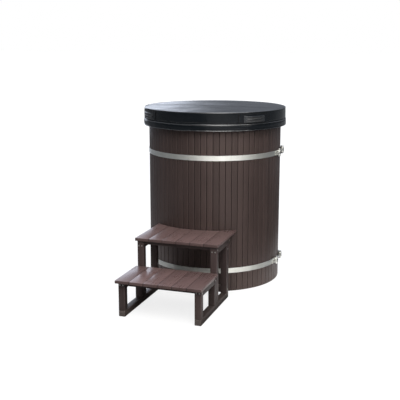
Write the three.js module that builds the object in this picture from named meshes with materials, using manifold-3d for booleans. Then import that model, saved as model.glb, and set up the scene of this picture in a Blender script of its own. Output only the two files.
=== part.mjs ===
// Cold plunge tub: an upright barrel of narrow staves held by two clamped hoops, with a moulded liner,
// an insulated fold-over cover and a two-tread step unit that nests against the barrel.
// Millimetres, +Z up. Origin: centre of the barrel's underside, on the floor. The steps stand towards -Y.
import * as THREE from "three";
import { mergeVertices } from "three/addons/utils/BufferGeometryUtils.js";
import Module from "manifold-3d";

// ---------------------------------------------------------------- driving dimensions
const GAP = 0.3; // clearance kept between touching pieces

// barrel
const STAVE_COUNT = 70;
const STAVES_PER_PANEL = 10;
const STAVE_PITCH = 360 / STAVE_COUNT; // degrees
const FIRST_GROOVE = 0.7055; // degrees from -Y towards +X
const STAVE_R = 400; // outer radius at the stave edges
const STAVE_INNER_R = 378;
const STAVE_TOP = 960;
const GROOVE_HALF = 1.7; // half width of the V between two staves
const GROOVE_DEPTH = 2.8;

// base, insulation and liner
const BASE_R = 376.5;
const BASE_TOP = 22;
const FOAM_INNER_R = 351.2;
const FOAM_FLOOR = 45;
const FOAM_TOP = 955;
const LINER_R = 350;
const LINER_INNER_R = 343;
const LINER_FLOOR = 53;
const RIM_TOP = 972;
const ROUND = 60; // segments of the large round pieces

// hoops
const BAND_T = 2;
const BAND_MID_R = 401.6;
const BAND_H = 29;
const HOOPS = [
  { name: "upper", z: 770, near: 86, far: 104 },
  { name: "lower", z: 110, near: 84.5, far: 102.5 },
]; // near and far: angles of the two clamp bars
const BAR_R = 8; // clamp bar the band end is rolled round
const BAR_H = 48;
const LOOP_R = BAR_R + 0.75 + BAND_T / 2; // middle of the rolled loop
const BAR_C_R = BAND_MID_R + LOOP_R; // bar centre's distance from the barrel's axis
const BOLT_R = 4;
const NUT_R = 7.5;
const NUT_T = 8;
const NUT_HOLE_R = 4.3;
const BOLT_PAST = 30; // bolt length past the near bar's centre
const WINDOW_HALF = 8.4; // half height of the slot in each rolled end

// drain
const DRAIN_ANGLE = FIRST_GROOVE + STAVE_PITCH * 34.5; // middle of a rear stave
const DRAIN_Z = 88;
const DRAIN_BORE = 7.5;
const DRAIN_TUBE_R = 10.5;
const DRAIN_HOLE_R = 11.5;
const STRAINER_R = 1.6;
const FLANGE_R = 18; // flange of the drain fitting, against the outside of the liner
const FLANGE_Y0 = 350.6;
const FLANGE_Y1 = 355;
const STEM_Y = 441;
const LEVER_Z = DRAIN_Z + 24.4;

// cover
const LID_R = 427;
const LID_SEGMENTS = 72;
const FOLD_GAP = 0.5; // each half stops this far from the fold plane
const HANDLE_ANGLES = [-49, 49, 131, -131];
const HANDLE_NAMES = ["front_left", "front_right", "rear_right", "rear_left"];

// steps
const STEP_X = -4.5; // the step unit stands a little left of the barrel's axis
const TREAD_HALF = 240;
const TREAD_T = 16;
const LOW_TREAD_TOP = 205;
const HIGH_TREAD_TOP = 367;
const BOARDS = 6;
const BOARD_SEAM = 1.4;
const LEG_OUT = 231;
const LEG_IN = 195;
const RUNNER_H = 32;
const BACK_ARC_R = 404.5;

// ---------------------------------------------------------------- helpers
const wasm = await Module();
wasm.setup();
const rad = THREE.MathUtils.degToRad;
// point at radius r and angle a, in degrees from -Y towards +X
const at = (r, a) => new THREE.Vector2(r * Math.sin(rad(a)), -r * Math.cos(rad(a)));

// merged, closed geometry with its faces turned outwards
function closed(geometry) {
  let g = geometry.clone();
  g.deleteAttribute("normal");
  g.deleteAttribute("uv");
  g = mergeVertices(g, 1e-3);
  const p = g.attributes.position;
  const source = g.index.array;
  const kept = [];
  let volume = 0;
  const a = new THREE.Vector3();
  const b = new THREE.Vector3();
  const c = new THREE.Vector3();
  for (let i = 0; i < source.length; i += 3) {
    const [u, v, w] = [source[i], source[i + 1], source[i + 2]];
    if (u === v || v === w || w === u) continue;
    kept.push(u, v, w);
    a.fromBufferAttribute(p, u);
    b.fromBufferAttribute(p, v);
    c.fromBufferAttribute(p, w);
    volume += a.dot(b.cross(c));
  }
  if (volume < 0)
    for (let i = 0; i < kept.length; i += 3) [kept[i + 1], kept[i + 2]] = [kept[i + 2], kept[i + 1]];
  g.setIndex(kept);
  return g;
}
function solid(geometry) {
  const g = closed(geometry);
  return new wasm.Manifold(
    new wasm.Mesh({
      numProp: 3,
      vertProperties: new Float32Array(g.attributes.position.array),
      triVerts: new Uint32Array(g.index.array),
    }),
  );
}
function geometryOf(body) {
  const m = body.getMesh();
  const v = new Float32Array(m.numVert * 3);
  for (let i = 0; i < m.numVert; i++) v.set(m.vertProperties.subarray(i * m.numProp, i * m.numProp + 3), i * 3);
  const g = new THREE.BufferGeometry();
  g.setAttribute("position", new THREE.BufferAttribute(v, 3));
  g.setIndex(new THREE.BufferAttribute(new Uint32Array(m.triVerts), 1));
  g.computeVertexNormals();
  return g;
}
const block = (x0, x1, y0, y1, z0, z1) =>
  new THREE.BoxGeometry(x1 - x0, y1 - y0, z1 - z0).translate((x0 + x1) / 2, (y0 + y1) / 2, (z0 + z1) / 2);
// solid of revolution about Z from [radius, height] pairs
const turned = (pairs, segments) =>
  closed(
    new THREE.LatheGeometry(
      pairs.map(([r, z]) => new THREE.Vector2(r, z)),
      segments,
    ).rotateX(Math.PI / 2),
  );
// upright prism from a plan outline
function prism(points, z0, z1, holes = []) {
  const shape = new THREE.Shape(points);
  for (const h of holes) shape.holes.push(new THREE.Path(h));
  return closed(
    new THREE.ExtrudeGeometry(shape, { depth: z1 - z0, bevelEnabled: false, steps: 1 }).translate(0, 0, z0),
  );
}
// rod between two points
function rod(from, to, r, sides) {
  const d = new THREE.Vector3().subVectors(to, from);
  return new THREE.CylinderGeometry(r, r, d.length(), sides)
    .applyQuaternion(new THREE.Quaternion().setFromUnitVectors(new THREE.Vector3(0, 1, 0), d.clone().normalize()))
    .translate((from.x + to.x) / 2, (from.y + to.y) / 2, (from.z + to.z) / 2);
}
// strip of constant thickness along a plan line
function strip(line, thickness) {
  const left = [];
  const right = [];
  line.forEach((p, i) => {
    const before = line[Math.max(i - 1, 0)];
    const after = line[Math.min(i + 1, line.length - 1)];
    const d1 = new THREE.Vector2().subVectors(p, before);
    const d2 = new THREE.Vector2().subVectors(after, p);
    if (i === 0) d1.copy(d2);
    if (i === line.length - 1) d2.copy(d1);
    d1.normalize();
    d2.normalize();
    const n = new THREE.Vector2(-d1.y - d2.y, d1.x + d2.x).normalize();
    const k = thickness / 2 / Math.max(0.4, n.x * -d1.y + n.y * d1.x);
    left.push(new THREE.Vector2(p.x + n.x * k, p.y + n.y * k));
    right.push(new THREE.Vector2(p.x - n.x * k, p.y - n.y * k));
  });
  return [...left, ...right.reverse()];
}

// ---------------------------------------------------------------- finishes
const finish = (color, roughness, metalness) => new THREE.MeshStandardMaterial({ color, roughness, metalness });
const composite = () => finish(0x4c403f, 0.5, 0);
const deck = () => finish(0x4a3a38, 0.32, 0);
const stainless = () => finish(0xd6d7d0, 0.3, 1);
const vinyl = () => finish(0x15191d, 0.35, 0);
const webbing = () => finish(0x1d2127, 0.45, 0);
const polyethylene = () => finish(0x2a2d31, 0.4, 0);
const foam = () => finish(0xd9d4c2, 0.9, 0);
const board = () => finish(0x3a3331, 0.7, 0);
const fitting = () => finish(0x24262a, 0.45, 0);
const leverPaint = () => finish(0x8f2a25, 0.45, 0);

const tub = new THREE.Group();
const cover = new THREE.Group();
const steps = new THREE.Group();
const root = new THREE.Group();
root.add(tub, cover, steps);
function add(group, name, geometry, material) {
  const mesh = new THREE.Mesh(geometry, material);
  mesh.name = name;
  group.add(mesh);
  return mesh;
}

// ---------------------------------------------------------------- base, insulation, liner
add(tub, "base_plate", turned([[0, 0], [BASE_R, 0], [BASE_R, BASE_TOP], [0, BASE_TOP]], ROUND), board());

// cutters along the drain's axis, out through the rear wall
const drainTurn = rad(DRAIN_ANGLE - 180);
const drainCut = (r, y0 = 300, y1 = 440, x = 0, z = 0, sides = 20) =>
  solid(
    rod(new THREE.Vector3(x, y0, DRAIN_Z + z), new THREE.Vector3(x, y1, DRAIN_Z + z), r, sides).rotateZ(drainTurn),
  );

add(
  tub,
  "insulation_foam",
  geometryOf(
    solid(
      turned(
        [
          [0, BASE_TOP + GAP],
          [BASE_R, BASE_TOP + GAP],
          [BASE_R, FOAM_TOP],
          [FOAM_INNER_R, FOAM_TOP],
          [FOAM_INNER_R, FOAM_FLOOR + 18],
          [FOAM_INNER_R - 8, FOAM_FLOOR + 4],
          [FOAM_INNER_R - 24, FOAM_FLOOR],
          [0, FOAM_FLOOR],
        ],
        ROUND,
      ),
    )
      .subtract(drainCut(DRAIN_HOLE_R + 0.5))
      .subtract(drainCut(FLANGE_R + 0.6, 300, FLANGE_Y1 + 0.6)),
  ),
  foam(),
);

let liner = solid(
      turned(
        [
          [0, FOAM_FLOOR + GAP],
          [LINER_R - 24, FOAM_FLOOR + GAP],
          [LINER_R - 8, FOAM_FLOOR + 5],
          [LINER_R, FOAM_FLOOR + 19],
          [LINER_R, STAVE_TOP - 6],
          [LINER_R + 2, STAVE_TOP + GAP],
          [STAVE_R + 1.5, STAVE_TOP + GAP],
          [STAVE_R + 3.5, STAVE_TOP + 4],
          [STAVE_R + 1.5, RIM_TOP - 3],
          [STAVE_R - 4, RIM_TOP],
          [LINER_R + 8, RIM_TOP],
          [LINER_R - 2, RIM_TOP - 3],
          [LINER_INNER_R, RIM_TOP - 12],
          [LINER_INNER_R, LINER_FLOOR + 16],
          [LINER_INNER_R - 6, LINER_FLOOR + 5],
          [LINER_INNER_R - 20, LINER_FLOOR],
          [0, LINER_FLOOR],
        ],
        ROUND,
      ),
);
// strainer holes through the liner's wall, in front of the drain's bore
liner = liner.subtract(drainCut(STRAINER_R, 320, 360, 0, 0, 10));
for (let t = 0; t < 360; t += 60)
  liner = liner.subtract(drainCut(STRAINER_R, 320, 360, 5 * Math.cos(rad(t)), 5 * Math.sin(rad(t)), 10));
add(tub, "inner_liner", geometryOf(liner), polyethylene());

// ---------------------------------------------------------------- staves, joined edge to edge in panels
const grooveHalf = THREE.MathUtils.radToDeg(GROOVE_HALF / STAVE_R);
const edgeGap = THREE.MathUtils.radToDeg(GAP / 2 / STAVE_R);
const panels = STAVE_COUNT / STAVES_PER_PANEL;
for (let p = 0; p < panels; p++) {
  const first = FIRST_GROOVE + p * STAVES_PER_PANEL * STAVE_PITCH;
  const last = first + STAVES_PER_PANEL * STAVE_PITCH;
  const outline = [at(STAVE_R - GROOVE_DEPTH, first + edgeGap)];
  for (let s = 0; s < STAVES_PER_PANEL; s++) {
    const g0 = first + s * STAVE_PITCH;
    const g1 = g0 + STAVE_PITCH;
    outline.push(at(STAVE_R, g0 + grooveHalf), at(STAVE_R, g1 - grooveHalf));
    outline.push(at(STAVE_R - GROOVE_DEPTH, s === STAVES_PER_PANEL - 1 ? g1 - edgeGap : g1));
  }
  for (let s = STAVES_PER_PANEL; s >= 0; s--) {
    const a = first + s * STAVE_PITCH;
    outline.push(at(STAVE_INNER_R, Math.min(Math.max(a, first + edgeGap), last - edgeGap)));
  }
  let geometry = prism(outline, 0, STAVE_TOP);
  if (DRAIN_ANGLE > first && DRAIN_ANGLE < last)
    geometry = geometryOf(solid(geometry).subtract(drainCut(DRAIN_HOLE_R)));
  add(tub, "stave_panel_" + (p + 1), geometry, composite());
}

// ---------------------------------------------------------------- hoops: band, T-bolt, near bar and nut
for (const hoop of HOOPS) {
  const zc = hoop.z + BAND_H / 2;
  const loop = (angle, side) => {
    // rolled end: starts under the bar and turns outwards, over it and back; side +1 rolls towards larger angles
    const c = at(BAR_C_R, angle);
    const out = at(1, angle);
    const along = new THREE.Vector2(-out.y, out.x).multiplyScalar(side);
    const points = [];
    for (let t = 0; t <= 300; t += 30) {
      const u = LOOP_R * Math.sin(rad(t));
      const v = -LOOP_R * Math.cos(rad(t));
      points.push(new THREE.Vector2(c.x + along.x * u + out.x * v, c.y + along.y * u + out.y * v));
    }
    return points;
  };
  const round = [];
  for (let k = 0; k < 2 * STAVE_COUNT; k++) {
    const a = FIRST_GROOVE + k * STAVE_PITCH;
    if (a > hoop.far + 0.8 && a < hoop.near + 360 - 0.8) round.push(at(BAND_MID_R, a));
  }
  const line = [...loop(hoop.far, -1).reverse(), ...round, ...loop(hoop.near, 1)];
  const near = at(BAR_C_R, hoop.near);
  const far = at(BAR_C_R, hoop.far);
  const chord = new THREE.Vector2().subVectors(near, far).normalize();
  const p3 = (v, k = 0, dz = 0) => new THREE.Vector3(v.x + chord.x * k, v.y + chord.y * k, zc + dz);

  // slot through both rolled ends for the bolt and the nut
  const slot = new THREE.BoxGeometry(far.distanceTo(near) + 2 * BOLT_PAST + 20, 14, 2 * WINDOW_HALF)
    .rotateZ(Math.atan2(chord.y, chord.x))
    .translate((near.x + far.x) / 2 + chord.x * 15, (near.y + far.y) / 2 + chord.y * 15, zc);
  add(
    tub,
    hoop.name + "_hoop_band",
    geometryOf(solid(prism(strip(line, BAND_T), hoop.z, hoop.z + BAND_H)).subtract(solid(slot))),
    stainless(),
  );

  // T-bolt: upright bar in the far loop with the threaded shank across the gap
  add(
    tub,
    hoop.name + "_hoop_t_bolt",
    geometryOf(
      solid(rod(p3(far, 0, -BAR_H / 2), p3(far, 0, BAR_H / 2), BAR_R, 16)).add(
        solid(rod(p3(far), p3(near, BOLT_PAST), BOLT_R, 12)),
      ),
    ),
    stainless(),
  );
  // near bar, drilled for the shank
  add(
    tub,
    hoop.name + "_hoop_clamp_bar",
    geometryOf(
      solid(rod(p3(near, 0, -BAR_H / 2), p3(near, 0, BAR_H / 2), BAR_R, 16)).subtract(
        solid(rod(p3(near, -20), p3(near, 20), BOLT_R + 0.6, 12)),
      ),
    ),
    stainless(),
  );
  // tension nut on the shank's free end
  add(
    tub,
    hoop.name + "_hoop_nut",
    geometryOf(
      solid(rod(p3(near, BAR_R + 0.6), p3(near, BAR_R + 0.6 + NUT_T), NUT_R, 6)).subtract(
        solid(rod(p3(near, 2), p3(near, 24), NUT_HOLE_R, 12)),
      ),
    ),
    stainless(),
  );
}

// ---------------------------------------------------------------- drain through the rear wall
const drain = new THREE.Group();
drain.rotation.z = drainTurn;
tub.add(drain);
// revolve about the drain's own axis, which runs outwards along local Y
const turnedOut = (pairs, segments) =>
  closed(
    new THREE.LatheGeometry(
      pairs.map(([r, y]) => new THREE.Vector2(r, y)),
      segments,
    ).translate(0, 0, DRAIN_Z),
  );
add(
  drain,
  "drain_bulkhead",
  turnedOut(
    [
      [DRAIN_BORE, FLANGE_Y0],
      [FLANGE_R, FLANGE_Y0],
      [FLANGE_R, FLANGE_Y1],
      [DRAIN_TUBE_R, FLANGE_Y1],
      [DRAIN_TUBE_R, 400.6],
      [17, 400.6],
      [17, 411],
      [DRAIN_TUBE_R, 411],
      [DRAIN_TUBE_R, 424],
      [DRAIN_BORE, 424],
      [DRAIN_BORE, FLANGE_Y0],
    ],
    20,
  ),
  fitting(),
);
add(
  drain,
  "drain_valve_body",
  geometryOf(
    solid(
      turnedOut(
        [
          [0, 429],
          [DRAIN_BORE, 429],
          [DRAIN_BORE, 424.5],
          [DRAIN_TUBE_R + 0.4, 424.5],
          [DRAIN_TUBE_R + 0.4, 412],
          [14.5, 412],
          [14.5, 427],
          [17, 430],
          [17, 452],
          [13.5, 455],
          [13.5, 468],
          [10.2, 470],
          [9, 479],
          [10.2, 480],
          [9, 489],
          [10.2, 490],
          [9, 500],
          [6.5, 500],
          [6.5, 454],
          [0, 454],
        ],
        20,
      ),
    )
      .add(
        solid(
          rod(new THREE.Vector3(0, STEM_Y, DRAIN_Z + 8), new THREE.Vector3(0, STEM_Y, DRAIN_Z + 24), 10, 16),
        ),
      )
      .add(
        solid(
          rod(new THREE.Vector3(0, STEM_Y, DRAIN_Z + 8), new THREE.Vector3(0, STEM_Y, DRAIN_Z + 30.5), 5, 12),
        ),
      ),
  ),
  fitting(),
);
{
  const outline = [];
  for (let t = 90; t <= 270; t += 22.5)
    outline.push(new THREE.Vector2(11 * Math.cos(rad(t)), STEM_Y + 11 * Math.sin(rad(t))));
  outline.push(new THREE.Vector2(30, STEM_Y - 7), new THREE.Vector2(80, STEM_Y - 8.5));
  for (let t = -60; t <= 60; t += 30)
    outline.push(new THREE.Vector2(84 + 8 * Math.cos(rad(t)), STEM_Y + 8.5 * Math.sin(rad(t))));
  outline.push(new THREE.Vector2(80, STEM_Y + 8.5), new THREE.Vector2(30, STEM_Y + 7));
  const hole = [];
  for (let t = 0; t < 360; t += 30)
    hole.push(new THREE.Vector2(5.5 * Math.cos(rad(t)), STEM_Y + 5.5 * Math.sin(rad(t))));
  add(drain, "drain_lever", prism(outline, LEVER_Z, LEVER_Z + 4.5, [hole]), leverPaint());
}

// ---------------------------------------------------------------- cover: two halves hinged on a fold across X
const shell = turned(
  [
    [0, 1047.5],
    [200, 1047],
    [412, 1045.4],
    [420.5, 1043.8],
    [425.4, 1040],
    [LID_R, 1035],
    [LID_R, 977],
    [429, 973.5],
    [430, 962],
    [429.5, 946],
    [427.5, 938.5],
    [424.5, 936.5],
    [423, 938.5],
    [425, 946],
    [426, 961],
    [425.6, 972],
    [LID_R - 3.5, 975.5],
    [LID_R - 3.5, 1040.5],
    [0, 1043.1],
  ],
  LID_SEGMENTS,
);
const core = turned(
  [
    [0, RIM_TOP + 0.5],
    [LID_R - 4.6, RIM_TOP + 0.5],
    [LID_R - 4.6, 1039.9],
    [0, 1042.5],
  ],
  LID_SEGMENTS,
);
for (const [half, sign] of [
  ["front", -1],
  ["rear", 1],
]) {
  const keep = (d) =>
    solid(sign < 0 ? block(-600, 600, -600, -d, 900, 1100) : block(-600, 600, d, 600, 900, 1100));
  add(cover, "cover_jacket_" + half, geometryOf(solid(shell).intersect(keep(FOLD_GAP))), vinyl());
  add(cover, "cover_core_" + half, geometryOf(solid(core).intersect(keep(FOLD_GAP + 1))), foam());
}

// strap handles: a sewn backing patch with the strap lying flat on it
function sector(r0, r1, middle, half, z0, z1, parts) {
  const points = [];
  for (let i = 0; i <= parts; i++) points.push(at(r1, middle - half + (2 * half * i) / parts));
  for (let i = parts; i >= 0; i--) points.push(at(r0, middle - half + (2 * half * i) / parts));
  return prism(points, z0, z1);
}
HANDLE_ANGLES.forEach((a, i) => {
  add(
    cover,
    "cover_handle_" + HANDLE_NAMES[i],
    geometryOf(
      solid(sector(427.7, 429.4, a, 13.95, 980, 1036, 12)).add(
        solid(sector(429.2, 433.5, a, 9.4, 986, 1024, 10)),
      ),
    ),
    webbing(),
  );
});

// ---------------------------------------------------------------- steps
for (const [side, sign] of [
  ["left", -1],
  ["right", 1],
]) {
  const x0 = STEP_X + (sign < 0 ? -LEG_OUT : LEG_IN);
  const x1 = STEP_X + (sign < 0 ? -LEG_IN : LEG_OUT);
  const member = (name, y0, y1, z0, z1) =>
    add(steps, "step_" + name + "_" + side, block(x0, x1, y0, y1, z0, z1), deck());
  const lowUnder = LOW_TREAD_TOP - TREAD_T - GAP;
  const highUnder = HIGH_TREAD_TOP - TREAD_T - GAP;
  member("runner", -934, -448, 0, RUNNER_H);
  member("front_leg", -934, -898, RUNNER_H + GAP, lowUnder);
  member("short_leg", -708, -672.5, RUNNER_H + GAP, lowUnder);
  member("tall_leg", -672.2, -636, RUNNER_H + GAP, highUnder);
  member("rear_leg", -484, -448, RUNNER_H + GAP, 311 - GAP);
  member("lower_bearer", -898 + GAP, -708 - GAP, 154, lowUnder);
  member("upper_bearer", -636 + GAP, -420, 311, highUnder);
}
const cross = (name, y0, y1, z0, z1) =>
  add(steps, name, block(STEP_X - LEG_IN + GAP, STEP_X + LEG_IN - GAP, y0, y1, z0, z1), deck());
cross("step_lower_front_batten", -926, -904, 170, LOW_TREAD_TOP - TREAD_T - GAP);
cross("step_lower_rear_batten", -706, -684, 170, LOW_TREAD_TOP - TREAD_T - GAP);
cross("step_upper_front_batten", -668, -646, 331, HIGH_TREAD_TOP - TREAD_T - GAP);
cross("step_upper_rear_batten", -444, -422, 331, HIGH_TREAD_TOP - TREAD_T - GAP);
cross("step_rear_rail", -478, -454, 34, 74);

const boardPitch = (2 * TREAD_HALF) / BOARDS;
for (let i = 0; i < BOARDS; i++) {
  const x0 = STEP_X - TREAD_HALF + i * boardPitch + (i ? BOARD_SEAM / 2 : 0);
  const x1 = STEP_X - TREAD_HALF + (i + 1) * boardPitch - (i < BOARDS - 1 ? BOARD_SEAM / 2 : 0);
  add(
    steps,
    "step_lower_board_" + (i + 1),
    block(x0, x1, -959, -674, LOW_TREAD_TOP - TREAD_T, LOW_TREAD_TOP),
    deck(),
  );
  // upper boards end on an arc that follows the barrel
  const outline = [new THREE.Vector2(x0, -683), new THREE.Vector2(x1, -683)];
  for (let k = 4; k >= 0; k--) {
    const x = x0 + ((x1 - x0) * k) / 4;
    outline.push(new THREE.Vector2(x, -Math.sqrt(BACK_ARC_R ** 2 - x * x)));
  }
  add(
    steps,
    "step_upper_board_" + (i + 1),
    prism(outline, HIGH_TREAD_TOP - TREAD_T, HIGH_TREAD_TOP),
    deck(),
  );
}

export default root;
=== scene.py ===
"""Looks of a cold plunge tub: a staved barrel with clamped hoops, a padded vinyl cover that folds across its middle,
a rear drain valve and a two-tread step unit. Metres, +Z up, steps towards -Y."""

import math
import random

import bmesh
import bpy
from mathutils import Matrix, Vector, noise
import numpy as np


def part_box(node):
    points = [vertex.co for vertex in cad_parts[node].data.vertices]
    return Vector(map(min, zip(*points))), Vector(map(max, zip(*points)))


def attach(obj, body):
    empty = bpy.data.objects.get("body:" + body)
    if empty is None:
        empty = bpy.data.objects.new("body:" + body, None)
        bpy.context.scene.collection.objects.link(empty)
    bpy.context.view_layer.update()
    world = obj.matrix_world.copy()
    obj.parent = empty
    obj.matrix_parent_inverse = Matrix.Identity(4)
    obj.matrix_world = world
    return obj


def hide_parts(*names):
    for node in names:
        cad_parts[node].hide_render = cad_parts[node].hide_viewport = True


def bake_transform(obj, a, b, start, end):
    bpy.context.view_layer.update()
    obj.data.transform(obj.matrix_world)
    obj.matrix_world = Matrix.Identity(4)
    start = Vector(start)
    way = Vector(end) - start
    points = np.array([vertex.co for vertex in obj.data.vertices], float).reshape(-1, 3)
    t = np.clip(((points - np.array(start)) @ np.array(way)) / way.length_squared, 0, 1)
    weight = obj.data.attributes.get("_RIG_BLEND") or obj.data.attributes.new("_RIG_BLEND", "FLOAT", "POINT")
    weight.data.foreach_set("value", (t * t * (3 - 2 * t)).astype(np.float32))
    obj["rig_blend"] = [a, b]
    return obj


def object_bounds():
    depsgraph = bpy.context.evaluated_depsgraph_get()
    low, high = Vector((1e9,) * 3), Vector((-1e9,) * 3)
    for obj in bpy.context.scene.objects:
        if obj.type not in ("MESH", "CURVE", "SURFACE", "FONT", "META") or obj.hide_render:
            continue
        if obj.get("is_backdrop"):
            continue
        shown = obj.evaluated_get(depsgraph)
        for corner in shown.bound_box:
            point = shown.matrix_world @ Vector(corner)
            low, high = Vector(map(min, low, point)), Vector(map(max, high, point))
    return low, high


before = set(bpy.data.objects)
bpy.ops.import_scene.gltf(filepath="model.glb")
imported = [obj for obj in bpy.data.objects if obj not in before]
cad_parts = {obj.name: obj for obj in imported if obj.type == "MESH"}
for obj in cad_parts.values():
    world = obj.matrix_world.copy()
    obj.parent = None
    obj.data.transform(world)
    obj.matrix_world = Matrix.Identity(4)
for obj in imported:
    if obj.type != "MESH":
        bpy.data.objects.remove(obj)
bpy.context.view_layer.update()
MM = 0.001
rng = random.Random(71)
scene = bpy.context.scene

# ------------------------------------------------------------------ camera
cam_data = bpy.data.cameras.new("camera")
cam_data.lens = 69.36
cam_data.sensor_width = 36.0
cam_data.clip_end = 200.0
cam = bpy.data.objects.new("camera", cam_data)
scene.collection.objects.link(cam)
cam.location = (1.4220, -4.4773, 1.4586)
cam.rotation_mode = "QUATERNION"
cam.rotation_quaternion = Vector((-0.3141, 0.9264, -0.2078)).to_track_quat("-Z", "Y")
scene.camera = cam
scene.view_settings.view_transform = "Standard"
scene.view_settings.look = "None"


# ------------------------------------------------------------------ shader helpers
class Mat:
    def __init__(self, name):
        self.m = bpy.data.materials.new(name)
        self.m.use_nodes = True
        self.nt = self.m.node_tree
        self.nt.nodes.clear()
        out = self.nt.nodes.new("ShaderNodeOutputMaterial")
        self.p = self.nt.nodes.new("ShaderNodeBsdfPrincipled")
        self.nt.links.new(self.p.outputs[0], out.inputs[0])
        self.co = self.nt.nodes.new("ShaderNodeTexCoord").outputs["Object"]

    def put(self, socket, value):
        if isinstance(value, bpy.types.NodeSocket):
            self.nt.links.new(value, socket)
        else:
            socket.default_value = value

    def scaled(self, scale, co=None):
        n = self.nt.nodes.new("ShaderNodeMapping")
        self.put(n.inputs["Vector"], co or self.co)
        n.inputs["Scale"].default_value = scale
        return n.outputs[0]

    def noise(self, vec, scale, detail=2.0, rough=0.5, warp=0.0):
        n = self.nt.nodes.new("ShaderNodeTexNoise")
        self.put(n.inputs["Vector"], vec)
        n.inputs["Scale"].default_value = scale
        n.inputs["Detail"].default_value = detail
        n.inputs["Roughness"].default_value = rough
        n.inputs["Distortion"].default_value = warp
        return n.outputs["Fac"]

    def cells(self, vec, scale, feature="F1"):
        n = self.nt.nodes.new("ShaderNodeTexVoronoi")
        n.feature = feature
        self.put(n.inputs["Vector"], vec)
        n.inputs["Scale"].default_value = scale
        return n.outputs["Distance"]

    def wave(self, vec, scale, axis, warp=0.0):
        n = self.nt.nodes.new("ShaderNodeTexWave")
        n.bands_direction = axis
        self.put(n.inputs["Vector"], vec)
        n.inputs["Scale"].default_value = scale
        n.inputs["Distortion"].default_value = warp
        return n.outputs["Fac"]

    def math(self, op, a, b=0.0, clamp=False):
        n = self.nt.nodes.new("ShaderNodeMath")
        n.operation = op
        n.use_clamp = clamp
        self.put(n.inputs[0], a)
        self.put(n.inputs[1], b)
        return n.outputs[0]

    def fit(self, v, a, b, c, d):
        n = self.nt.nodes.new("ShaderNodeMapRange")
        self.put(n.inputs[0], v)
        for i, x in enumerate((a, b, c, d)):
            n.inputs[i + 1].default_value = x
        return n.outputs[0]

    def mix(self, fac, a, b, mode="MIX"):
        n = self.nt.nodes.new("ShaderNodeMix")
        n.data_type = "RGBA"
        n.blend_type = mode
        self.put(n.inputs[0], fac)
        self.put(n.inputs[6], a)
        self.put(n.inputs[7], b)
        return n.outputs[2]

    def attr(self, name):
        n = self.nt.nodes.new("ShaderNodeAttribute")
        n.attribute_name = name
        return n.outputs["Fac"]

    def split(self, vec):
        n = self.nt.nodes.new("ShaderNodeSeparateXYZ")
        self.put(n.inputs[0], vec)
        return n.outputs

    def join(self, x, y, z):
        n = self.nt.nodes.new("ShaderNodeCombineXYZ")
        for i, v in enumerate((x, y, z)):
            self.put(n.inputs[i], v)
        return n.outputs[0]

    def bump(self, height, strength, distance, under=None):
        n = self.nt.nodes.new("ShaderNodeBump")
        self.put(n.inputs["Height"], height)
        n.inputs["Strength"].default_value = strength
        n.inputs["Distance"].default_value = distance
        if under is not None:
            self.put(n.inputs["Normal"], under)
        return n.outputs[0]

    def use(self, **values):
        names = {"color": "Base Color", "rough": "Roughness", "metal": "Metallic", "normal": "Normal", "ior": "IOR"}
        for k, v in values.items():
            self.put(self.p.inputs[names.get(k, k)], v)
        return self.m


def rgb(r, g, b):
    return (r, g, b, 1.0)


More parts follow.
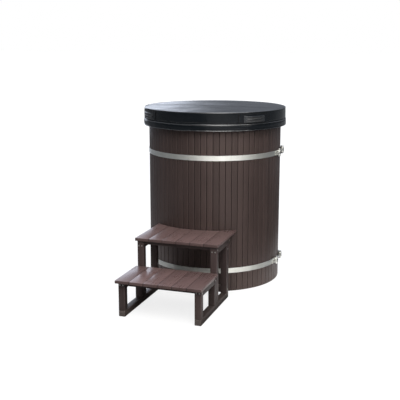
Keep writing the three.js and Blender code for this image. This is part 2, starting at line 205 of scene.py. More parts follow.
# ------------------------------------------------------------------ materials
def composite(name, color, grain, rough, tone=0.16, streak=0.22, dust=0.0, bump=0.22, level=0.2, tint=(1.0, 1.0, 1.0)):
    """Wood-fibre and plastic composite: brushed grain along one axis, tone of each board, paler arrises that are wear
    on the step members and a painted highlight on the staves, paler cut ends, and painted shade in the staves' grooves,
    along the tread seams and on the tread boards' front ends.
    """
    s = Mat(name)
    across, along = 520.0, 5.0
    scale = [across] * 3
    scale["xyz".index(grain)] = along
    fine = s.noise(s.scaled(tuple(scale)), 1.0, 4.0, 0.62)
    scale2 = [90.0] * 3
    scale2["xyz".index(grain)] = 1.6
    broad = s.noise(s.scaled(tuple(scale2)), 1.0, 3.0, 0.55, 0.4)
    mottle = s.noise(s.co, 9.0, 3.0, 0.6)
    flecks = s.noise(s.co, 700.0, 1.0, 0.4)
    base = s.mix(s.fit(fine, 0.3, 0.7, 0.0, 1.0), rgb(*[c * (1 - streak) for c in color]), rgb(*[c * (1 + streak) for c in color]))
    base = s.mix(s.fit(broad, 0.35, 0.7, 0.0, 0.6), base, rgb(color[0] * 0.8, color[1] * 0.76, color[2] * 0.76))
    base = s.mix(s.fit(mottle, 0.35, 0.68, 0.0, 0.35), base, rgb(color[0] * 1.28, color[1] * 1.26, color[2] * 1.24))
    base = s.mix(s.fit(flecks, 0.68, 0.76, 0.0, 0.35), base, rgb(color[0] * 1.9, color[1] * 1.9, color[2] * 1.85))
    up = s.fit(s.attr("tone"), -1.0, 1.0, 1.0 - tone, 1.0 + tone)
    n = s.nt.nodes.new("ShaderNodeVectorMath")
    n.operation = "SCALE"
    s.put(n.inputs[0], base)
    s.put(n.inputs["Scale"], up)
    base = n.outputs[0]
    # paler arrises: wear on the step members, a painted highlight on the staves' rounded arrises and chamfered ends
    wear_and_highlight = s.math("MULTIPLY", s.attr("edge"), s.fit(broad, 0.3, 0.65, 0.25, 0.8), True)
    base = s.mix(wear_and_highlight, base, rgb(color[0] * 1.75 + 0.01, color[1] * 1.8 + 0.01, color[2] * 1.8 + 0.01))
    base = s.mix(s.math("MULTIPLY", s.attr("cut"), 0.7), base, rgb(color[0] * 1.9 + 0.012, color[1] * 2.1 + 0.012, color[2] * 2.1 + 0.012))
    # painted shade: near black in the staves' V-grooves, along the seams between tread boards and on the boards' front
    # end faces
    base = s.mix(s.math("MULTIPLY", s.attr("painted_shade"), 0.93), base, rgb(color[0] * 0.07, color[1] * 0.07, color[2] * 0.07))
    if dust:
        low = s.fit(s.split(s.co)[2], 0.0, 0.14, 1.0, 0.0)
        film = s.math("MULTIPLY", s.math("MULTIPLY", low, s.fit(mottle, 0.3, 0.7, 0.3, 1.0)), dust, True)
        base = s.mix(film, base, rgb(0.16, 0.14, 0.125))
    r = s.math("ADD", s.fit(fine, 0.3, 0.7, rough - 0.07, rough + 0.08), s.fit(mottle, 0.3, 0.7, -0.05, 0.07))
    nrm = s.bump(fine, bump, 0.0009)
    nrm = s.bump(broad, bump * 0.6, 0.0016, nrm)
    s.p.inputs["Specular IOR Level"].default_value = level
    s.p.inputs["Specular Tint"].default_value = rgb(*tint)
    return s.use(color=base, rough=r, normal=nrm)


STAVE = composite("stave_composite", (0.041, 0.0283, 0.0259), "z", 0.42, tone=0.2, dust=0.12, level=0.58, tint=(1.0, 0.8, 0.75))
DECK_Y = composite("deck_composite_y", (0.141, 0.0905, 0.0855), "y", 0.30, tone=0.12, streak=0.08, bump=0.008, level=0.5)
# the frame members are one composite in three copies; the legs' copy is made the lightest, as painted light
FRAME_X = composite("frame_composite_x", (0.040, 0.029, 0.0275), "x", 0.42, dust=0.12)
FRAME_Y = composite("frame_composite_y", (0.049, 0.036, 0.0335), "y", 0.42, dust=0.2)
FRAME_Z = composite("frame_composite_z", (0.052, 0.037, 0.0355), "z", 0.40, dust=0.2)
BASE_MAT = composite("base_board", (0.045, 0.035, 0.032), "x", 0.65, dust=0.2)


def stainless(name, around, tint=(0.88, 0.88, 0.845), rough=0.3):
    """Brushed stainless steel; the brushing runs round the barrel, or along the part."""
    s = Mat(name)
    x, y, z = s.split(s.co)[:3]
    if around:
        angle = s.math("ARCTAN2", y, x)
        vec = s.join(s.math("MULTIPLY", angle, 6.0), s.math("MULTIPLY", z, 1500.0), 0.0)
    else:
        vec = s.scaled((700.0, 700.0, 700.0))
    lines = s.noise(vec, 1.0, 3.0, 0.6)
    smear = s.noise(s.co, 14.0, 3.0, 0.55, 0.5)
    spots = s.noise(s.co, 160.0, 2.0, 0.5)
    base = s.mix(s.fit(smear, 0.35, 0.7, 0.0, 0.45), rgb(*tint), rgb(tint[0] * 0.8, tint[1] * 0.81, tint[2] * 0.79))
    base = s.mix(s.fit(spots, 0.66, 0.74, 0.0, 0.4), base, rgb(tint[0] * 0.62, tint[1] * 0.58, tint[2] * 0.5))
    r = s.math("ADD", s.fit(lines, 0.3, 0.7, rough - 0.06, rough + 0.08), s.fit(smear, 0.3, 0.7, -0.03, 0.06))
    if around:
        tangent = s.nt.nodes.new("ShaderNodeTangent")
        tangent.direction_type = "RADIAL"
        tangent.axis = "Z"
        s.p.inputs["Anisotropic"].default_value = 0.75
        s.p.inputs["Anisotropic Rotation"].default_value = 0.25
        s.put(s.p.inputs["Tangent"], tangent.outputs[0])
    return s.use(color=base, rough=r, normal=s.bump(lines, 0.10, 0.0002), metal=1.0)


STEEL_BAND = stainless("stainless_band", True, rough=0.70)
STEEL = stainless("stainless", False, rough=0.26)
SCREW = stainless("screw_steel", False, tint=(0.5, 0.49, 0.46), rough=0.34)


def vinyl(name, color, rough, grain=0.08, haze=(0.013, 0.015, 0.0185), level=0.28, ior=1.5):
    """Marine vinyl: fine pressed grain, soft ripples, a thin haze of dust, a painted highlight along marked edges and
    painted shade along marked rims.
    """
    s = Mat(name)
    warp = s.noise(s.co, 60.0, 2.0)
    pebble = s.cells(s.co, 780.0, "SMOOTH_F1")
    crease = s.noise(s.co, 330.0, 3.0, 0.6, 0.6)
    ripple = s.noise(s.co, 26.0, 2.0, 0.5, 0.3)
    film = s.noise(s.co, 5.0, 4.0, 0.62, 0.2)
    base = s.mix(s.fit(film, 0.35, 0.75, 0.0, 0.55), rgb(*color), rgb(*haze))
    base = s.mix(s.fit(warp, 0.4, 0.7, 0.0, 0.3), base, rgb(color[0] * 0.7, color[1] * 0.7, color[2] * 0.72))
    # painted highlight: paler haze on the cover's rounded top edge, most of all on the lip
    base = s.mix(s.math("MULTIPLY", s.attr("edge"), 0.6), base, rgb(haze[0] * 1.5, haze[1] * 1.5, haze[2] * 1.5))
    # painted shade: near black round the handle patches' rims, for the shadow gap there
    base = s.mix(s.math("MULTIPLY", s.attr("painted_shade"), 0.9), base, rgb(0.0008, 0.0009, 0.001))
    r = s.math("ADD", s.fit(film, 0.3, 0.7, rough - 0.05, rough + 0.07), s.fit(crease, 0.3, 0.7, -0.02, 0.04))
    r = s.math("ADD", r, s.math("MULTIPLY", s.attr("painted_shade"), 0.6), True)
    nrm = s.bump(pebble, grain, 0.0005)
    nrm = s.bump(crease, grain * 0.6, 0.0004, nrm)
    nrm = s.bump(ripple, 0.05, 0.004, nrm)
    s.p.inputs["Specular IOR Level"].default_value = level
    return s.use(color=base, rough=r, normal=nrm, ior=ior)


VINYL = vinyl("cover_vinyl", (0.0050, 0.0068, 0.0088), 0.17, level=0.22)
UNDER = vinyl("cover_underside", (0.035, 0.037, 0.040), 0.48, 0.25, (0.07, 0.072, 0.075))
PIPING = vinyl("cover_piping", (0.010, 0.012, 0.014), 0.18, 0.04, level=0.5, ior=2.3)


def webbing():
    s = Mat("strap_webbing")
    x, y, z = s.split(s.co)[:3]
    angle = s.math("MULTIPLY", s.math("ARCTAN2", y, x), 0.43)
    vec = s.join(angle, z, 0.0)
    warp = s.wave(vec, 260.0, "X", 0.4)
    weft = s.wave(vec, 420.0, "Y", 0.4)
    weave = s.math("MULTIPLY", warp, weft)
    film = s.noise(s.co, 30.0, 3.0, 0.6)
    base = s.mix(s.fit(weave, 0.0, 1.0, 0.0, 1.0), rgb(0.0105, 0.0122, 0.0150), rgb(0.0145, 0.0168, 0.0205))
    base = s.mix(s.fit(film, 0.4, 0.7, 0.0, 0.5), base, rgb(0.022, 0.0255, 0.031))
    # painted shade: near black in the troughs of the strap's pleats
    base = s.mix(s.math("MULTIPLY", s.attr("painted_shade"), 0.94), base, rgb(0.0016, 0.0019, 0.0023))
    r = s.math("ADD", s.fit(film, 0.3, 0.7, 0.22, 0.30), s.math("MULTIPLY", s.attr("painted_shade"), 0.5), True)
    return s.use(color=base, rough=r, normal=s.bump(weave, 0.03, 0.0004), ior=1.8)


WEB = webbing()


def thread():
    s = Mat("stitch_thread")
    twist = s.wave(s.co, 900.0, "DIAGONAL", 0.5)
    base = s.mix(twist, rgb(0.02, 0.021, 0.023), rgb(0.06, 0.062, 0.066))
    return s.use(color=base, rough=0.6, normal=s.bump(twist, 0.4, 0.0003))


THREAD = thread()


def moulded(name, color, rough, peel=0.12, scuff=(0.11, 0.115, 0.12)):
    """Moulded plastic: orange peel, faint scuffs and a dull film."""
    s = Mat(name)
    skin = s.noise(s.co, 420.0, 2.0, 0.5)
    film = s.noise(s.co, 6.0, 4.0, 0.6)
    lines = s.noise(s.scaled((40.0, 40.0, 900.0)), 1.0, 2.0, 0.5)
    base = s.mix(s.fit(film, 0.35, 0.7, 0.0, 0.5), rgb(*color), rgb(*[c * 1.45 for c in color]))
    base = s.mix(s.fit(lines, 0.68, 0.78, 0.0, 0.25), base, rgb(*scuff))
    base = s.mix(s.math("MULTIPLY", s.attr("edge"), 0.5), base, rgb(*scuff))
    r = s.math("ADD", s.fit(film, 0.3, 0.7, rough - 0.05, rough + 0.08), s.fit(lines, 0.4, 0.7, 0.0, 0.05))
    return s.use(color=base, rough=r, normal=s.bump(skin, peel, 0.0006))


LINER = moulded("liner_plastic", (0.030, 0.033, 0.037), 0.34)
FITTING = moulded("fitting_plastic", (0.024, 0.025, 0.028), 0.42, 0.2)
LEVER = moulded("lever_grip", (0.26, 0.028, 0.022), 0.38, 0.2, (0.34, 0.1, 0.09))


def foam():
    s = Mat("insulation_foam")
    cell = s.cells(s.co, 420.0)
    patch = s.noise(s.co, 12.0, 3.0)
    base = s.mix(s.fit(patch, 0.3, 0.7, 0.0, 1.0), rgb(0.62, 0.54, 0.34), rgb(0.72, 0.66, 0.46))
    return s.use(color=base, rough=0.9, normal=s.bump(cell, 0.5, 0.001))


FOAM = foam()


# ------------------------------------------------------------------ mesh helpers
def grid(rows, wrap=True, loop=False, caps=True):
    n, m = len(rows[0]), len(rows)
    verts = [tuple(v) for r in rows for v in r]
    faces = []
    for i in range(m if loop else m - 1):
        a, b = i * n, ((i + 1) % m) * n
        for j in range(n if wrap else n - 1):
            k = (j + 1) % n
            faces.append((a + j, a + k, b + k, b + j))
    if caps and wrap and not loop:
        faces.append(tuple(range(n - 1, -1, -1)))
        faces.append(tuple(range((m - 1) * n, m * n)))
    return verts, faces


def joined(*parts):
    verts, faces = [], []
    for v, f in parts:
        o = len(verts)
        verts += list(v)
        faces += [tuple(i + o for i in x) for x in f]
    return verts, faces


def piece(name, geo, mats, body, nodes=(), angle=32.0, attrs=None, face_mat=None, keep_normals=False):
    """A mesh object in the row frame that rides on a body, and stands for CAD nodes."""
    verts, faces = geo
    bm = bmesh.new()
    for key in attrs or {}:
        bm.verts.layers.float.new(key)
    layers = [(bm.verts.layers.float[key], values) for key, values in (attrs or {}).items()]
    made = [bm.verts.new(v) for v in verts]
    for layer, values in layers:
        for v, x in zip(made, values):
            v[layer] = x
    for i, f in enumerate(faces):
        if len(set(f)) < 3:
            continue
        try:
            face = bm.faces.new([made[j] for j in f])
        except ValueError:
            continue
        if face_mat:
            face.material_index = face_mat[i]
    bmesh.ops.remove_doubles(bm, verts=bm.verts[:], dist=2e-6)
    bmesh.ops.dissolve_degenerate(bm, edges=bm.edges[:], dist=1e-7)
    if not keep_normals:
        bmesh.ops.recalc_face_normals(bm, faces=bm.faces[:])
    big = [f for f in bm.faces if len(f.verts) > 4]
    if big:
        bmesh.ops.triangulate(bm, faces=big, ngon_method="EAR_CLIP")
    return from_bm(name, bm, mats, body, nodes, angle)


def from_bm(name, bm, mats, body, nodes=(), angle=32.0):
    me = bpy.data.meshes.new(name)
    bm.to_mesh(me)
    bm.free()
    me.shade_smooth()
    me.set_sharp_from_angle(angle=math.radians(angle))
    ob = bpy.data.objects.new(name, me)
    scene.collection.objects.link(ob)
    for m in mats if isinstance(mats, (list, tuple)) else [mats]:
        me.materials.append(m)
    finish_piece(ob, body, nodes)
    return ob


def finish_piece(ob, body, nodes=()):
    if body:
        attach(ob, body)
    if nodes:
        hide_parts(*([nodes] if isinstance(nodes, str) else nodes))
    return ob


def turned(profile, segments, place=None):
    """Closed solid of revolution about Z from (radius, height) in metres that starts and ends on the axis or closes on itself."""
    rows = []
    for i in range(segments):
        a = 2 * math.pi * i / segments
        row = [Vector((r * math.cos(a), r * math.sin(a), z)) for r, z in profile]
        rows.append([place @ v for v in row] if place else row)
    return grid(rows, wrap=profile[0][0] > 1e-6, loop=True, caps=False)


def carve(ob, cutters):
    """Cuts closed meshes out of ob, and removes them."""
    for geo in cutters:
        verts, faces = geo
        me = bpy.data.meshes.new("cutter")
        bm = bmesh.new()
        made = [bm.verts.new(v) for v in verts]
        for f in faces:
            bm.faces.new([made[j] for j in f])
        bmesh.ops.recalc_face_normals(bm, faces=bm.faces[:])
        bm.to_mesh(me)
        bm.free()
        tool = bpy.data.objects.new("cutter", me)
        scene.collection.objects.link(tool)
        mod = ob.modifiers.new("cut", "BOOLEAN")
        mod.operation = "DIFFERENCE"
        mod.solver = "EXACT"
        mod.object = tool
        dg = bpy.context.evaluated_depsgraph_get()
        cut = bpy.data.meshes.new_from_object(ob.evaluated_get(dg))
        ob.modifiers.clear()
        old = ob.data
        ob.data = cut
        bpy.data.meshes.remove(old)
        bpy.data.objects.remove(tool)
        cut.shade_smooth()
        cut.set_sharp_from_angle(angle=math.radians(32))
    return ob


def box_geo(centre, axes, half):
    c = Vector(centre)
    pts = [
        c + axes[0] * (sx * half[0]) + axes[1] * (sy * half[1]) + axes[2] * (sz * half[2])
        for sz in (-1, 1)
        for sy in (-1, 1)
        for sx in (-1, 1)
    ]
    return pts, [(0, 2, 3, 1), (4, 5, 7, 6), (0, 1, 5, 4), (2, 6, 7, 3), (0, 4, 6, 2), (1, 3, 7, 5)]


def polar(r, deg, z=0.0):
    """Point at radius r and angle from -Y towards +X."""
    a = math.radians(deg)
    return Vector((r * math.sin(a), -r * math.cos(a), z))


def bar(name, lo, hi, mat, body, nodes, radius=0.0022, grain="y", segments=3, tone=None, pale=0.0, seam=False):
    """A board or post with rounded edges, its own tone, worn arrises and paler sawn ends; tread boards get painted
    shade along their seams and on their front end faces.
    """
    lo, hi = Vector(lo), Vector(hi)
    bm = bmesh.new()
    bmesh.ops.create_cube(bm, size=1.0)
    size = hi - lo
    bmesh.ops.scale(bm, vec=size, verts=bm.verts[:])
    bmesh.ops.translate(bm, vec=(lo + hi) / 2, verts=bm.verts[:])
    g = "xyz".index(grain)
    bmesh.ops.bevel(bm, geom=bm.edges[:], offset=radius, segments=segments, profile=0.5, affect="EDGES", clamp_overlap=True)
    mark(bm, lo, hi, radius, g, tone, pale, seam)
    return from_bm(name, bm, mat, body, nodes)


def mark(bm, lo, hi, radius, g, tone=None, pale=0.0, seam=False):
    tone = rng.uniform(-1, 1) if tone is None else tone
    keys = ("tone", "edge", "cut", "painted_shade")
    for key in keys:
        bm.verts.layers.float.new(key)
    lt, le, lc, lg = (bm.verts.layers.float[key] for key in keys)
    for v in bm.verts:
        v[lt] = tone
        near = sum(1 for i in range(3) if min(v.co[i] - lo[i], hi[i] - v.co[i]) < radius * 0.95)
        v[le] = 1.0 if near >= 2 else 0.0
        # tread boards: painted shade darkens the sides under the top, where boards meet, and the front end faces; their
        # arrises are barely worn
        if seam:
            side = min(v.co.x - lo.x, hi.x - v.co.x) < radius * 0.75 and -0.238 < v.co.x < 0.229
            v[lg] = 1.0 if side and v.co.z < hi.z - radius * 0.25 else 0.0
            v[le] *= 0.15
            if v.co.y < lo.y + radius * 0.5:
                v[lg] = max(v[lg], 0.42)
        v[lc] = pale if min(v.co[g] - lo[g], hi[g] - v.co[g]) < radius * 0.2 else 0.0


# ------------------------------------------------------------------ staves
STAVES, PER_PANEL = 70, 10
PITCH = 360.0 / STAVES
FIRST = 0.7055
# half a stave's outline: across and out in mm, then how much a painted highlight lightens the rounded arris, then how
# much painted shade darkens the V-groove's side
HALF_SECTION = [
    (16.80, 377.65, 0, 0), (17.66, 396.00, 0, 1), (17.34, 396.90, 0, 1), (16.78, 398.10, 0, 0.9), (16.30, 398.85, 0.5, 0.25),
    (15.80, 399.32, 1, 0), (14.9, 399.60, 0.3, 0), (7.6, 399.70, 0, 0),
]
section = [(-u, v, e, g) for u, v, e, g in HALF_SECTION] + [(0.0, 399.73, 0, 0)] + list(reversed(HALF_SECTION))
DRAIN_DEG = FIRST + PITCH * 34.5
drain_turn = Matrix.Rotation(math.radians(DRAIN_DEG - 180.0), 4, "Z")
DRAIN_Z = 0.088


def across_drain(r, y0=0.30, y1=0.44, sides=32, dx=0.0, dz=0.0):
    rows = []
    for y in (y0, y1):
        rows.append([drain_turn @ Vector((dx + r * math.cos(2 * math.pi * i / sides), y, DRAIN_Z + dz + r * math.sin(2 * math.pi * i / sides))) for i in range(sides)])
    return grid(rows)


for p in range(STAVES // PER_PANEL):
    parts, tones, edges, section_shade = [], [], [], []
    for s in range(PER_PANEL):
        k = p * PER_PANEL + s
        mid = math.radians(FIRST + PITCH * (k + 0.5))
        out = Vector((math.sin(mid), -math.cos(mid), 0))
        along = Vector((math.cos(mid), math.sin(mid), 0))
        shade = max(-1.0, min(1.0, rng.gauss(0, 0.5)))
        proud = rng.uniform(-0.22, 0.12)
        rows = []
        for z, inset in ((0.0, 1.1), (0.7, 0.35), (1.8, 0.0), (320.0, 0.0), (640.0, 0.0), (958.4, 0.0), (959.4, 0.4), (960.0, 1.1)):
            row = []
            for u, v, e, g in section:
                vv = v - inset + (proud if v > 390 else 0)
                uu = u * (1 - inset / 40.0)
                row.append((along * uu + out * vv) * MM + Vector((0, 0, z * MM)))
                tones.append(shade)
                section_shade.append(g)
                # the chamfered top and bottom ends get the painted highlight as well
                edges.append(max(e, 0.8 if inset > 0.2 and v > 390 else 0))
            rows.append(row)
        parts.append(grid(rows))
    ob = piece(f"staves_{p + 1}", joined(*parts), STAVE, "tub", f"stave_panel_{p + 1}", attrs={"tone": tones, "edge": edges, "painted_shade": section_shade})
    if FIRST + PITCH * PER_PANEL * p < DRAIN_DEG < FIRST + PITCH * PER_PANEL * (p + 1):
        carve(ob, [across_drain(0.0115, 0.35, 0.42)])

# ------------------------------------------------------------------ hoops and their clamps
BAND_R, LOOP_R = 401.6, 9.75
BAR_R, BAR_C = 8.0, 401.6 + 9.75
HOOPS = (("upper", 770.0, 86.0, 104.0), ("lower", 110.0, 84.5, 102.5))


def clamp_frame(deg, side):
    c = polar(BAR_C, deg)
    out = polar(1.0, deg)
    along = Vector((-out.y, out.x, 0)) * side
    return c, out, along


def rolled_end(deg, side):
    """Band end, from the band: under the bar, round it, down and back along the band's face."""
    c, out, along = clamp_frame(deg, side)
    pts = [(LOOP_R * math.sin(math.radians(t)), -LOOP_R * math.cos(math.radians(t))) for t in range(0, 241, 12)]
    floor = -LOOP_R + 2.08
    u, v = pts[-1]
    du, dv = math.cos(math.radians(240)), math.sin(math.radians(240))
    land = (v - floor) / -dv
    for f in (0.25, 0.5, 0.72):
        pts.append((u + du * land * f, v + dv * land * f))
    lu = u + du * land
    for f in (0.12, 0.35, 0.65):
        # small fillet where the tail meets the band
        pts.append((lu + 1.8 - 5.5 * f, floor + 2.0 * (1 - f) ** 2))
    rr = BAND_R + 2.08
    for back in (7.0, 12.0, 18.0, 24.0, 30.0):
        uu = lu - back + 3.0
        ang = uu / rr
        pts.append((rr * math.sin(ang), rr * math.cos(ang) - BAR_C))
    return [c + along * a + out * b for a, b in pts], lu


def sweep_band(line, z0, height, thick):
    half, r = thick / 2, 0.45
    prof = [(-half, r), (-half + r, 0), (half - r, 0), (half, r), (half, height / 2), (half, height - r), (half - r, height), (-half + r, height), (-half, height - r), (-half, height / 2)]
    rows = []
    for i, p in enumerate(line):
        a, b = line[max(i - 1, 0)], line[min(i + 1, len(line) - 1)]
        d1 = (p - a) if i else (b - p)
        d2 = (b - p) if i < len(line) - 1 else (p - a)
        d1, d2 = d1.normalized(), d2.normalized()
        n = Vector((-(d1.y + d2.y), d1.x + d2.x, 0)).normalized()
        k = 1 / max(0.5, n.dot(Vector((-d1.y, d1.x, 0))))
        rows.append([(p + n * (k * x) + Vector((0, 0, z0 + z))) * MM for x, z in prof])
    return grid(rows)


def dome(centre, axis, r, h, seg=18, rings=6, foot=0.0006):
    """Low domed rivet or weld head standing on a surface."""
    axis = Vector(axis).normalized()
    rot = axis.to_track_quat("Z", "Y").to_matrix().to_4x4()
    place = Matrix.Translation(Vector(centre)) @ rot
    prof = [(0.0, -foot), (r, -foot), (r, h * 0.12)]
    prof += [(r * math.cos(t), h * (0.12 + 0.88 * math.sin(t))) for t in [math.pi / 2 * i / rings for i in range(1, rings)]]
    prof.append((0.0, h))
    return turned(prof, seg, place)


def thread_rod(start, end, r, pitch, smooth_to, sides=20):
    """Shank from start to end, threaded past smooth_to, with a chamfered tip."""
    d = end - start
    length = d.length
    d = d.normalized()
    q = d.to_track_quat("Z", "Y").to_matrix()
    rows = []
    s = 0.0
    while s < length:
        row = []
        for i in range(sides):
            a = 2 * math.pi * i / sides
            rad = r * 0.97
            if s > smooth_to:
                t = (s / pitch - i / sides) % 1.0
                rad = r * (0.865 + 0.135 * (1 - abs(2 * t - 1)))
            tip = length - s
            if tip < r * 0.4:
                rad = min(rad, r * 0.72 + tip * 0.7)
            row.append(start + d * s + q @ Vector((rad * math.cos(a), rad * math.sin(a), 0)))
        rows.append(row)
        s += pitch / 5 if s >= smooth_to - pitch else max(pitch, (smooth_to - pitch) / 8)
    rows.append([end + q @ Vector((r * 0.72 * math.cos(2 * math.pi * i / sides), r * 0.72 * math.sin(2 * math.pi * i / sides), 0)) for i in range(sides)])
    return grid(rows)


def hex_nut(centre, axis, flat, thick, hole, seg=72):
    """Hexagon nut with turned chamfers on both faces and a bore."""
    rot = Vector(axis).normalized().to_track_quat("Z", "Y").to_matrix().to_4x4()
    place = Matrix.Translation(Vector(centre)) @ rot
    rows = []
    for i in range(seg):
        a = 2 * math.pi * i / seg
        edge = flat / math.cos(((math.degrees(a) + 30) % 60 - 30) * math.pi / 180)
        drop = max(0.0, edge - flat * 0.97) * 0.58
        top = thick / 2
        prof = [
            (hole, -top + hole * 0.12), (hole * 1.12, -top), (flat * 0.95, -top), (edge, -top + drop + 0.0001), (edge, top - drop - 0.0001),
            (flat * 0.95, top), (hole * 1.12, top), (hole, top - hole * 0.12), (hole, 0.0),
        ]
        rows.append([place @ Vector((r * math.cos(a), r * math.sin(a), z)) for r, z in prof])
    return grid(rows, wrap=True, loop=True, caps=False)


def round_bar(centre, r, height, seg=28, chamfer=0.0012):
    place = Matrix.Translation(Vector(centre))
    h = height / 2
    prof = [(0.0, -h), (r - chamfer, -h), (r - chamfer * 0.3, -h + chamfer * 0.3), (r, -h + chamfer), (r, 0.0), (r, h - chamfer), (r - chamfer * 0.3, h - chamfer * 0.3), (r - chamfer, h), (0.0, h)]
    return turned(prof, seg, place)


for name, z0, near, far in HOOPS:
    zc = z0 + 14.5
    near_end, near_lu = rolled_end(near, 1)
    far_end, far_lu = rolled_end(far, -1)
    body_line = []
    a = far + 0.6
    while a < near + 360 - 0.6:
        body_line.append(polar(BAND_R, a))
        a += 2.2
    line = list(reversed(far_end)) + body_line + near_end
    ob = piece(f"{name}_hoop", sweep_band(line, z0, 29.0, 2.0), STEEL_BAND, "tub", f"{name}_hoop_band")
    N, F = polar(BAR_C, near) , polar(BAR_C, far)
    chord = (N - F).normalized()
    side = Vector((-chord.y, chord.x, 0))
    mid = (N + F) / 2 + chord * 15 + Vector((0, 0, zc))
    carve(ob, [box_geo(mid * MM, (chord, side, Vector((0, 0, 1))), ((N - F).length * MM / 2 + 0.037, 0.0085, 0.0089))])
    # weld buttons that hold each tail to the band
    buttons = []
    for deg, sgn, lu in ((near, 1, near_lu), (far, -1, far_lu)):
        c, out, along = clamp_frame(deg, sgn)
        for back, dz in ((12.0, -8.0), (12.0, 8.0), (21.0, -8.0), (21.0, 8.0)):
            ang = (lu - back + 3.0) / (BAND_R + 3.0)
            rr = BAND_R + 3.08
            n = along * math.sin(ang) + out * math.cos(ang)
            buttons.append(dome((n * rr + Vector((0, 0, zc + dz))) * MM, n, 0.0026, 0.0011))
    piece(f"{name}_hoop_rivets", joined(*buttons), STEEL, "tub", ())
    up = Vector((0, 0, zc))
    piece(
        f"{name}_t_bolt",
        joined(round_bar((F + up) * MM, 0.008, 0.048), thread_rod((F + up) * MM, (N + chord * 30 + up) * MM, 0.004, 0.00125, (N - F).length * MM * 0.5)),
        STEEL, "tub", f"{name}_hoop_t_bolt",
    )
    ob = piece(f"{name}_clamp_bar", round_bar((N + up) * MM, 0.008, 0.048), STEEL, "tub", f"{name}_hoop_clamp_bar")
    q = chord.to_track_quat("Z", "Y").to_matrix()
    hole = [[(N + up) * MM + q @ Vector((0.0046 * math.cos(2 * math.pi * i / 24), 0.0046 * math.sin(2 * math.pi * i / 24), s)) for i in range(24)] for s in (-0.012, 0.012)]
    carve(ob, [grid(hole)])
    piece(f"{name}_nut", hex_nut((N + chord * 12.6 + up) * MM, chord, 0.0065, 0.008, 0.0043), STEEL, f"{name}_nut", f"{name}_hoop_nut")

# ------------------------------------------------------------------ base, liner, drain
base_prof = [(0.0, 0.0), (0.3735, 0.0), (0.3757, 0.0009), (0.3765, 0.003), (0.3765, 0.020), (0.3755, 0.022), (0.0, 0.022)]
ob = piece("base", turned(base_prof, 128), BASE_MAT, "tub", "base_plate")
cuts = []
for i in range(-4, 5):
    cuts.append(box_geo((0, i * 0.083, 0.0), (Vector((1, 0, 0)), Vector((0, 1, 0)), Vector((0, 0, 1))), (0.5, 0.0012, 0.0025)))
carve(ob, cuts)
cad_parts["insulation_foam"].data.materials.clear()
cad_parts["insulation_foam"].data.materials.append(FOAM)


def arc(cx, cz, r, a0, a1, n):
    return [(cx + r * math.cos(math.radians(a0 + (a1 - a0) * i / n)), cz + r * math.sin(math.radians(a0 + (a1 - a0) * i / n))) for i in range(n + 1)]


liner = [(0.0, 45.4), (200.0, 45.4), (326.0, 45.4)]
liner += arc(328.0, 67.4, 22.0, -80, 0, 6)
liner += [(350.0, 300.0), (350.0, 640.0), (350.0, 950.0), (351.0, 957.0), (354.0, 960.4), (401.0, 960.4)]
liner += arc(400.0, 964.4, 3.5, -60, 80, 6)
liner += [(396.0, 971.6), (385.0, 972.0), (360.0, 972.0)]
liner += arc(357.0, 958.0, 14.0, 90, 180, 8)
liner += [(343.0, 940.0), (343.0, 640.0), (343.0, 300.0), (343.0, 76.0)]
liner += [(343.0 - 20.0 + 20.0 * math.cos(math.radians(a)), 73.0 - 20.0 * math.sin(math.radians(a))) for a in (12, 28, 45, 62, 78, 90)]
liner += [(200.0, 53.0), (0.0, 53.0)]
ob = piece("liner", turned([(r * MM, z * MM) for r, z in liner], 180), LINER, "tub", "inner_liner", angle=40)
holes = [(0.0, 0.0)] + [(0.005 * math.cos(math.radians(t)), 0.005 * math.sin(math.radians(t))) for t in range(0, 360, 60)]
carve(ob, [across_drain(0.0016, 0.32, 0.36, 16, dx, dz) for dx, dz in holes])


def drain_turned(profile, segments):
    """Solid of revolution about the drain's axis, from (radius, distance from the barrel's axis) in mm."""
    rows = []
    for i in range(segments):
        a = 2 * math.pi * i / segments
        rows.append([drain_turn @ Vector((r * MM * math.cos(a), y * MM, DRAIN_Z + r * MM * math.sin(a))) for r, y in profile])
    return grid(rows, wrap=profile[0][0] > 1e-6, loop=True, caps=False)


bulk = [(7.5, 350.7), (17.4, 350.7), (18.0, 351.2), (18.0, 354.6), (17.6, 355.0), (10.5, 355.0)]
y = 357.0
while y < 398.0:
    bulk += [(10.5, y), (10.0, y + 0.9)]
    y += 1.8
bulk += [(10.5, 400.0), (10.5, 423.0), (9.6, 424.0), (7.9, 424.0), (7.5, 423.4)]
lock = hex_nut(drain_turn @ Vector((0, 0.4058, DRAIN_Z)), drain_turn.to_3x3() @ Vector((0, 1, 0)), 0.0148, 0.0104, 0.0104)
ob = piece("drain_bulkhead_fitting", joined(drain_turned(bulk, 40), lock), FITTING, "tub", "drain_bulkhead")
valve = [(0.0, 429.0), (7.5, 429.0), (7.5, 424.6), (10.9, 424.5), (10.9, 412.6), (11.4, 412.0), (13.6, 412.0), (14.5, 412.8), (14.5, 426.4), (15.2, 427.6), (16.4, 429.0), (17.0, 431.0), (17.0, 451.0), (16.4, 453.0), (15.0, 454.6), (13.6, 455.4), (13.5, 467.0), (12.9, 468.4), (10.4, 470.0)]
for y in (470.0, 480.0, 490.0):
    valve += [(10.2, y + 0.6), (9.0, y + 9.0), (9.0, y + 9.6)]
valve += [(8.6, 500.0), (6.9, 500.0), (6.5, 499.4), (6.5, 454.0), (0.0, 454.0)]
stem_at = Vector((0, 0.441, DRAIN_Z))
boss = Matrix.Translation(stem_at)
boss = drain_turn @ boss
stem_prof = [(0.0, 0.008), (0.0100, 0.008), (0.0100, 0.0205), (0.0094, 0.0232), (0.0086, 0.024), (0.0, 0.024)]
pin_prof = [(0.0, 0.020), (0.0050, 0.020), (0.0050, 0.0298), (0.0044, 0.0305), (0.0, 0.0305)]
flats = []
